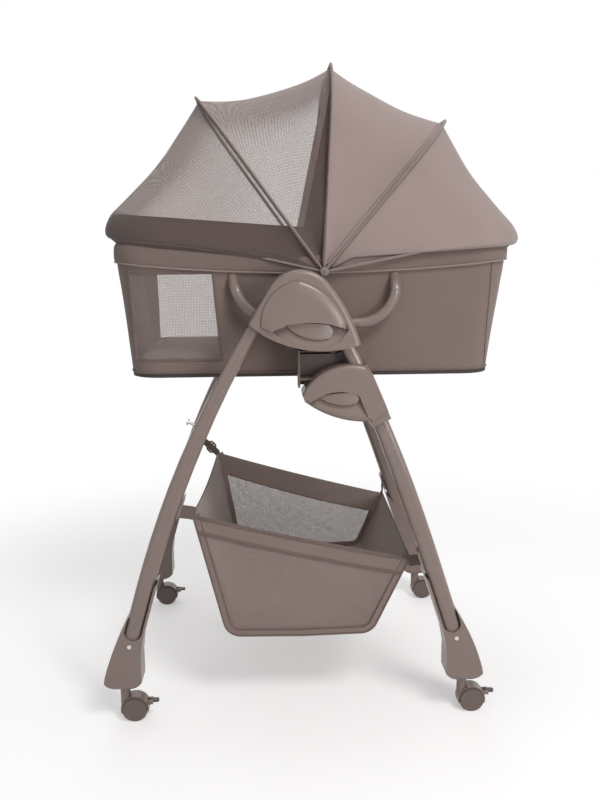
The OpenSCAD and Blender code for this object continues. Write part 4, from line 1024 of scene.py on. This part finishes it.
# %% Window nets, bindings and pipings
thin_piping = oval(0.0024, 0.0024, 10)
for side, sign in (("near", 1), ("far", -1)):
    patch = grid[window_rows.start:window_rows.stop + 1, edges[1]:edges[2] + 1] * [1, sign, 1]
    made = surface(f"{side} window net", patch * [1, 0.999, 1], window_net, inside=(0, 0, 0.8))
    joins(made, "bassinet", "mesh_windows" if side == "near" else None)
    cut_flat(made)
    ring = np.concatenate([patch[0, :-1], patch[:-1, -1], patch[-1, :0:-1], patch[:0:-1, 0]])
    away = unit(ring * sideways)
    made = swept(f"{side} window binding", ring, oval(0.0060, 0.0026, 12), tape_cloth, up=away, loop=True)
    joins(made, "bassinet")
    for c in (edges[1], edges[4]):
        seam = grid[:, c] * [1.001, 1.003 * sign, 1]
        made = swept(f"{side} corner seam {c}", seam, thin_piping, tape_cloth, up=(1, 0, 0))
        joins(made, "bassinet")
foot = whole(resample(half_outline(*(foot_size + [0.0005, 0.0005, 0.0002]), foot_shift), 201))
foot = np.column_stack([foot, np.full(len(foot), wall_foot + 0.0009)])
joins(swept("base piping", foot, oval(0.0042, 0.0042, 12), tape_cloth, loop=True), "bassinet")
print("windows bound and piped")

# %% [markdown]
# The bent tube on each side carries the bassinet. It is pressed a little flat, turns a
# wide bend on the left and a tighter one on the right, and both its tops lean in under
# the rim band. A path of two arcs, swept with an oval, gives all of that.

# %% Side brackets
left_bend, right_bend = 0.100, 0.072
bracket_half, bracket_top = 0.157, 0.899
bracket_out, bracket_lean = 0.222, 0.027
a = np.linspace(0, np.pi / 2, 25)
left_arc = [left_bend - bracket_half, 0.892] - left_bend * np.stack([np.cos(a), np.sin(a)], axis=-1)
right_arc = [bracket_half - right_bend, 0.864] + right_bend * np.stack([np.sin(a), -np.cos(a)], axis=-1)
bent = np.concatenate([[[-bracket_half, bracket_top]], left_arc, right_arc, [[bracket_half, bracket_top]]])
bent = resample(bent, 161)
away = bracket_out - bracket_lean * smooth_step((bent[:, 1] - 0.850) / 0.042)
for side, sign in (("near", -1), ("far", 1)):
    path = np.column_stack([bent[:, 0], sign * away, bent[:, 1]])
    made = swept(f"{side} bracket tube", path, oval(0.0205, 0.0155, 24), tube_finish, up=(0, 1, 0))
    joins(made, "bassinet", "side_brackets" if side == "near" else None)
print("bracket tubes", round(line_length(bent), 3), "m long")

# %% [markdown]
# The mattress is a padded slab that fills the floor of the bassinet. A box with rounded
# edges would look like foam board. So the slab starts as closed rings with a slight crown
# and is then blown up by a short cloth simulation, which rounds its edges and corners the
# way a filled cover does.


# %% Mattress slab
def slab(name, length, width, radius, low, high, shift, finish, crown):
    """A closed pad: rings from the middle of the underside, round a soft edge, to the middle
    of the top. Each ring is the outline shrunk by its own inset."""
    thick = high - low
    a = np.linspace(-np.pi / 2, np.pi / 2, 13)
    inner = [0.19, 0.14, 0.09, 0.05]
    inset = np.concatenate([inner, thick / 2 * (1 - np.cos(a)), inner[::-1]])
    z = np.concatenate([[low] * 4, (low + high) / 2 + thick / 2 * np.sin(a), [high] * 4])
    rise = np.concatenate([np.zeros(17), [0.35, 0.65, 0.9, 1.0]]) * crown
    rings = []
    for e, at in zip(inset, z + rise):
        half = half_outline(length - 2 * e, width - 2 * e, max(radius - e, 0.004), shift)
        line = whole(resample(half, 121))
        rings.append(np.column_stack([line, np.full(len(line), at)]))
    middle = [np.tile([[shift, 0, at]], (len(rings[0]), 1)) for at in (low, high + crown)]
    made = surface(name, np.stack([middle[0]] + rings + [middle[1]]), finish, loop=True)
    make_outward(made)
    return made


mattress = slab("mattress pad", length=0.708, width=0.380, radius=0.056, low=0.6960, high=0.7220,
                shift=foot_shift, finish=mattress_cloth, crown=0.003)
print("mattress of", len(mattress.data.polygons), "faces before it is filled")

# %% [markdown]
# Cloth with air pressure and no gravity acts like a cover being filled. The voxel remesh
# gives it even faces, which a simulation needs, and a cap on how far a point may move
# keeps the pad inside its wall. The result is written on the mesh, so no simulation is
# left on the piece, and one level of subdivision smooths the voxels.

# %% Mattress filled
swell_frames = 20


def shape_now(made):
    """A new mesh of the object as its modifiers leave it."""
    return bpy.data.meshes.new_from_object(made.evaluated_get(bpy.context.evaluated_depsgraph_get()))


def spots_of(mesh):
    """All vertex places as one row of points each."""
    flat = np.empty(len(mesh.vertices) * 3, np.float32)
    mesh.vertices.foreach_get("co", flat)
    return flat.reshape(-1, 3)


def plumped(made, voxel, pressure, most):
    """Swells a closed pad by cloth simulation: the surface is remade in even voxels, blown up
    for a few frames without gravity, and no point may move further than most."""
    copy = bpy.data.objects.new(made.name, shape_now(made))
    bpy.context.scene.collection.objects.link(copy)
    even = copy.modifiers.new("even voxels", "REMESH")
    even.mode = "VOXEL"
    even.voxel_size = voxel
    even.use_smooth_shade = True
    mesh = shape_now(copy)
    copy.modifiers.remove(even)
    copy.data = mesh
    before = spots_of(mesh)
    blow = copy.modifiers.new("swell", "CLOTH")
    blow.settings.use_pressure = True
    blow.settings.uniform_pressure_force = pressure
    blow.settings.effector_weights.gravity = 0
    blow.settings.quality = 5
    blow.point_cache.frame_start = 1
    blow.point_cache.frame_end = swell_frames
    for step in range(swell_frames):
        bpy.context.scene.frame_set(step + 1)
    move = spots_of(shape_now(copy)) - before
    length = np.linalg.norm(move, axis=1, keepdims=True)
    move *= np.minimum(1, most / np.maximum(length, 1e-9))
    mesh.vertices.foreach_set("co", (before + move).reshape(-1))
    copy.modifiers.remove(blow)
    bpy.context.scene.frame_set(1)
    mesh.polygons.foreach_set("use_smooth", np.ones(len(mesh.polygons), bool))
    mesh.materials.clear()
    mesh.materials.append(made.data.materials[0])
    name = made.name
    bpy.data.objects.remove(made)
    copy.name = name
    print(name, "swelled by up to", round(float(np.linalg.norm(move, axis=1).max()) * 1000, 1), "mm")
    return copy


mattress = plumped(mattress, voxel=0.006, pressure=3.0, most=0.0045)
joins(mattress, "bassinet", "mattress")
finer = mattress.modifiers.new("finer", "SUBSURF")
finer.levels = finer.render_levels = 1
print("mattress", len(mattress.data.polygons), "faces")

# %% [markdown]
# The basket hangs from four clips. One long piece of cloth makes its two ends and its
# floor; the near and far sides are net under a closed band, edged all round with a wide
# tape. Its lower corners are round, so every point that falls outside a corner's circle
# is drawn onto it. The far side hangs a little shorter and further right than the near
# one, so each side has its own four corners.

# %% Basket shape
near, far = -1, 1
basket_rim, basket_floor = 0.418, 0.158
corners_of = {
    near: np.array([(-0.245, basket_rim), (-0.182, basket_floor), (0.113, basket_floor), (0.189, 0.318)]),
    far: np.array([(-0.223, basket_rim), (-0.180, basket_floor), (0.140, basket_floor), (0.201, 0.301)])}
half_depth = 0.2405
corner_round = 0.034
basket_middle = (-0.03, 0, 0.3)


def rounded_low(spot, sign):
    """Draws (x, z) points near a lower corner onto its circle. A point belongs to the corner
    when it lies past both places where the circle touches the straight edges."""
    top_left, low_left, low_right, top_right = corners_of[sign]
    for low, side, other in ((low_left, top_left, low_right), (low_right, top_right, low_left)):
        up, along = unit(side - low), unit(other - low)
        centre = low + unit(up + along) * corner_round / math.sqrt((1 - up @ along) / 2)
        from_centre = spot - centre
        beyond = (from_centre @ up < 0) & (from_centre @ along < 0)
        length = np.linalg.norm(from_centre, axis=-1)
        shrink = np.where(beyond & (length > corner_round), corner_round / np.maximum(length, 1e-6), 1.0)
        spot = centre + from_centre * shrink[..., None]
    return spot


def basket_side(u, v, sign):
    """A point on the near or far side: u runs left to right, v from the rim down. The rim
    hangs as a shallow parabola and the side leans in by a few millimetres."""
    across, down = u[..., None], v[..., None]
    top_left, low_left, low_right, top_right = corners_of[sign]
    top = top_left * (1 - across) + top_right * across
    low = low_left * (1 - across) + low_right * across
    spot = rounded_low(top * (1 - down) + low * down, sign)
    hang = 4 * u * (1 - u)
    z = spot[..., 1] - 0.004 * hang * (1 - v) - 0.003 * hang * v
    y = sign * (half_depth - 0.005 * hang * np.sin(np.pi * v) - 0.002 * v)
    return np.stack([spot[..., 0], y, z], axis=-1)


def edge_line(count, sign):
    """One side's outline from the left top corner, down, along the floor and up to the right
    top corner, as evenly spaced (x, z) points, with the inward normal at each. The floor
    dips in its middle."""
    line = resample(rounded_low(resample(corners_of[sign], 900), sign), count)
    dip = np.clip(1 - np.abs(line[:, 0] - basket_middle[0]) / 0.144, 0, 1)
    line[:, 1] -= 0.003 * dip * (line[:, 1] < basket_floor + 0.018)
    step = unit(np.gradient(line, axis=0))
    return line, np.stack([-step[:, 1], step[:, 0]], axis=-1)


outline = {sign: edge_line(161, sign) for sign in (near, far)}
print("basket outline", round(line_length(outline[near][0]), 3), "m")

# %% [markdown]
# The basket stays with the right legs. The trough blends from the near outline to the far one
# and sinks between them; on the ends it sinks most at the rim, where nothing holds it.


# %% Basket trough
def in_basket(made, instead_of=None):
    """Every basket piece rides the stand, hides the solid it stands for, if any, and gets a mesh of its own.
    """
    joins(made, "stand", instead_of)
    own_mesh(made)


across = np.linspace(near, far, 49)[:, None]
share = across[..., None]
line, inward = [outline[near][i] * (1 - share) / 2 + outline[far][i] * (1 + share) / 2 for i in (0, 1)]
climb = np.clip((line[..., 1] - basket_floor) / 0.2, 0, 1)
hang = 1 - across**2
sag = 0.013 * hang * climb**3 + 0.004 * hang * (1 - climb) ** 4
push = 0.004 * hang * np.sin(np.pi * climb)
trough = np.stack([line[..., 0] - inward[..., 0] * push, across * (half_depth - 0.0015) + 0 * climb,
                   line[..., 1] - inward[..., 1] * push - sag], axis=-1)
lined = {"finish": basket_cloth, "inside": basket_middle, "lining": basket_lining}
made = surface("basket trough", trough, thick=0.0016, **lined)
in_basket(made, "basket")
cut_flat(made)

# %% [markdown]
# Each long side is a net from rim to floor, with a closed band over its top, a tape along
# the rim, another along the band's lower edge, and a wide flat tape with two seams down
# the ends and round the floor. The far band is the deeper one. Last come the tapes over
# the trough's own two ends.


# %% Basket sides
def rim_to_band(sign):
    """The closed band: the side's own surface down to a depth that grows to the right, set
    out a little, with slow creases."""
    u, v = np.meshgrid(np.linspace(0, 1, 97), np.linspace(0, 1, 11))
    deep = 0.140 + 0.070 * u if sign == near else 0.190 + 0.130 * u
    crease = 0.0007 * np.sin(22 * u + 5 * v) * np.sin(np.pi * v) * np.sin(np.pi * u)
    out = np.zeros((*u.shape, 3))
    out[..., 1] = sign * (0.0014 + crease)
    return basket_side(u, v * deep, sign) + out


def edging(sign):
    """The wide tape: the outline and five copies moved inwards, flat in the side's plane."""
    line, inward = outline[sign]
    flat = line[None] + inward[None] * np.linspace(0, 0.0125, 6)[:, None, None]
    plane = np.full(flat.shape[:2], sign * (half_depth + 0.0004))
    return np.stack([flat[..., 0], plane, flat[..., 1]], axis=-1)


u, v = np.meshgrid(np.linspace(0, 1, 97), np.linspace(0, 1, 65))
for side, sign in (("near", near), ("far", far)):
    made = surface(f"{side} basket net", basket_side(u, v, sign), basket_net, inside=basket_middle)
    in_basket(made)
    cut_flat(made)
    band = rim_to_band(sign)
    made = surface(f"{side} basket band", band, thick=0.0030, **lined)
    in_basket(made)
    cut_flat(made)
    for row, title, width, drop in ((0, "rim tape", 0.0075, 0.0030), (-1, "band tape", 0.0078, 0.0)):
        strip = band[row] + [0, sign * 0.0006, -drop]
        in_basket(swept(f"{side} {title}", strip, oval(width, 0.0024, 12), tape_cloth, up=(0, sign, 0)))
    wide = edging(sign)
    in_basket(surface(f"{side} side tape", wide, thick=0.0014, **lined))
    for row, title, size in ((0, "edge", 0.0040), (-1, "inner", 0.0022)):
        seam = wide[row] + [0, sign * 0.0004, 0]
        in_basket(swept(f"{side} basket {title} seam", seam, oval(size, size, 10), tape_cloth, up=(0, 1, 0)))
for end, title in ((0, "left"), (-1, "right")):
    in_basket(swept(f"{title} end tape", trough[:, end], oval(0.0070, 0.0028, 12), tape_cloth, up=(1, 0, 0)))
print("basket hung")

# %% [markdown]
# Webbing joins each corner of the basket to its clip. A flat band runs from the clip's
# face to the basket's corner, where it is sewn down, along a Bezier curve of three
# points. The near ones are plain wide tabs; the far ones carry a buckle with a middle bar.


# %% Straps and buckles
def flat_band(width, thick):
    """The outline of webbing: a flat rectangle with rounded long edges."""
    a = np.linspace(-np.pi / 2, np.pi / 2, 5)
    rounded = np.stack([thick / 2 * np.sin(a), width / 2 - thick / 2 + thick / 2 * np.cos(a)], axis=-1)
    return np.concatenate([rounded, -rounded])


def buckle(name, centre, along, across_to, body):
    """A rounded frame with a middle bar. The frame is a ring of rod whose x and y are the
    square roots of cosine and sine, each with its sign, in the plane of the webbing."""
    along = unit(np.array(along, float))
    facing = unit(np.cross(along, across_to))
    across_to = np.cross(facing, along)
    a = np.linspace(0, 2 * np.pi, 48, endpoint=False)
    x, y = [np.sign(wave) * np.abs(wave) ** 0.5 for wave in (np.cos(a), np.sin(a))]
    ring = centre + x[:, None] * 0.0105 * along + y[:, None] * 0.0135 * across_to
    bar = np.linspace(-0.0125, 0.0125, 9)[:, None] * across_to + centre + facing * 0.0012
    made = swept(name + " frame", ring, oval(0.0042, 0.0048, 10), dark_finish, up=facing, loop=True)
    joins(made, body)
    made = swept(name + " bar", bar, oval(0.0040, 0.0040, 10), dark_finish, up=facing)
    joins(made, body)


clip_face, basket_face, mid_way = 0.2690, 0.2440, 0.2500
strap_thick, slim_strap = 0.0022, 0.0190
t = np.linspace(0, 1, 25)[:, None]
for title, body, sign, clip_at, corner, along, width in (
        ("near left", "near_left_side", near, (-0.2650, 0.4360), (-0.2420, 0.4220), 1, 0.0260),
        ("far left", "far_left_side", far, (-0.2600, 0.4440), (-0.2220, 0.4150), 1, slim_strap),
        ("near right", "stand", near, (0.2070, 0.3250), (0.1870, 0.3120), -1, 0.0220),
        ("far right", "stand", far, (0.2040, 0.3330), (0.1990, 0.3000), -1, slim_strap)):
    start = np.array([clip_at[0], sign * (clip_face + 0.4 * (width - slim_strap)), clip_at[1]])
    end = np.array([corner[0], sign * basket_face, corner[1]])
    bend = np.array([corner[0] - 0.004 * along, sign * mid_way, corner[1] + 0.004])
    path = start * (1 - t) ** 2 + bend * 2 * t * (1 - t) + end * t**2
    made = swept(f"{title} strap", path, flat_band(width, strap_thick), webbing, up=(0, 0, 1))
    joins(made, body, f"{title.replace(' ', '_')}_strap" if "left" in title else None)
    if sign == far:
        buckle(f"{title} buckle", path[8] + [0, sign * 0.0016, 0], path[10] - path[6], (0, 0, 1), body)
print("four straps and two buckles")

# %% [markdown]
# The solids that nothing replaces keep their shapes and get their finishes here, by name.
# Mouldings and painted tube are close in colour on the real product, and only the docks,
# the brakes and the pivots are darker.


# %% Finishes on the solid pieces
def paint(finish, *names):
    """Puts one finish on CAD nodes; their shapes and places stay as they are."""
    for name in names:
        nodes[name].data.materials.clear()
        nodes[name].data.materials.append(finish)


def each(places, *parts):
    """Node names made of a place and a part, such as near_left and leg."""
    return [f"{place}_{part}" for place in places for part in parts]


sides = ("near", "far")
left_legs = ("near_left", "far_left")
corners = each(sides, "left", "right")
paint(shell_finish, *each(sides, "hub_shell", "hub_cover", "release_button", "fold_button"), "lock_housings")
paint(shell_finish, *each(left_legs, "knuckle", "shoe", "clip"), "right_shoes", "right_clips")
paint(shell_finish, *each(corners, "fork"))
paint(tube_finish, *each(corners, "leg"), "cross_beam", "rim_frame")
paint(dark_finish, *each(corners, "brake"), "carriages", "dock_tongues", "canopy_pivots")
paint(wheel_finish, *each(corners, "wheels"))
paint(rivet_finish, *each(left_legs, "screw"), "stand_fixings")
paint(pin_finish, "near_left_catch")
paint(board_finish, "base_board")
print("finishes on", len(nodes), "solids")
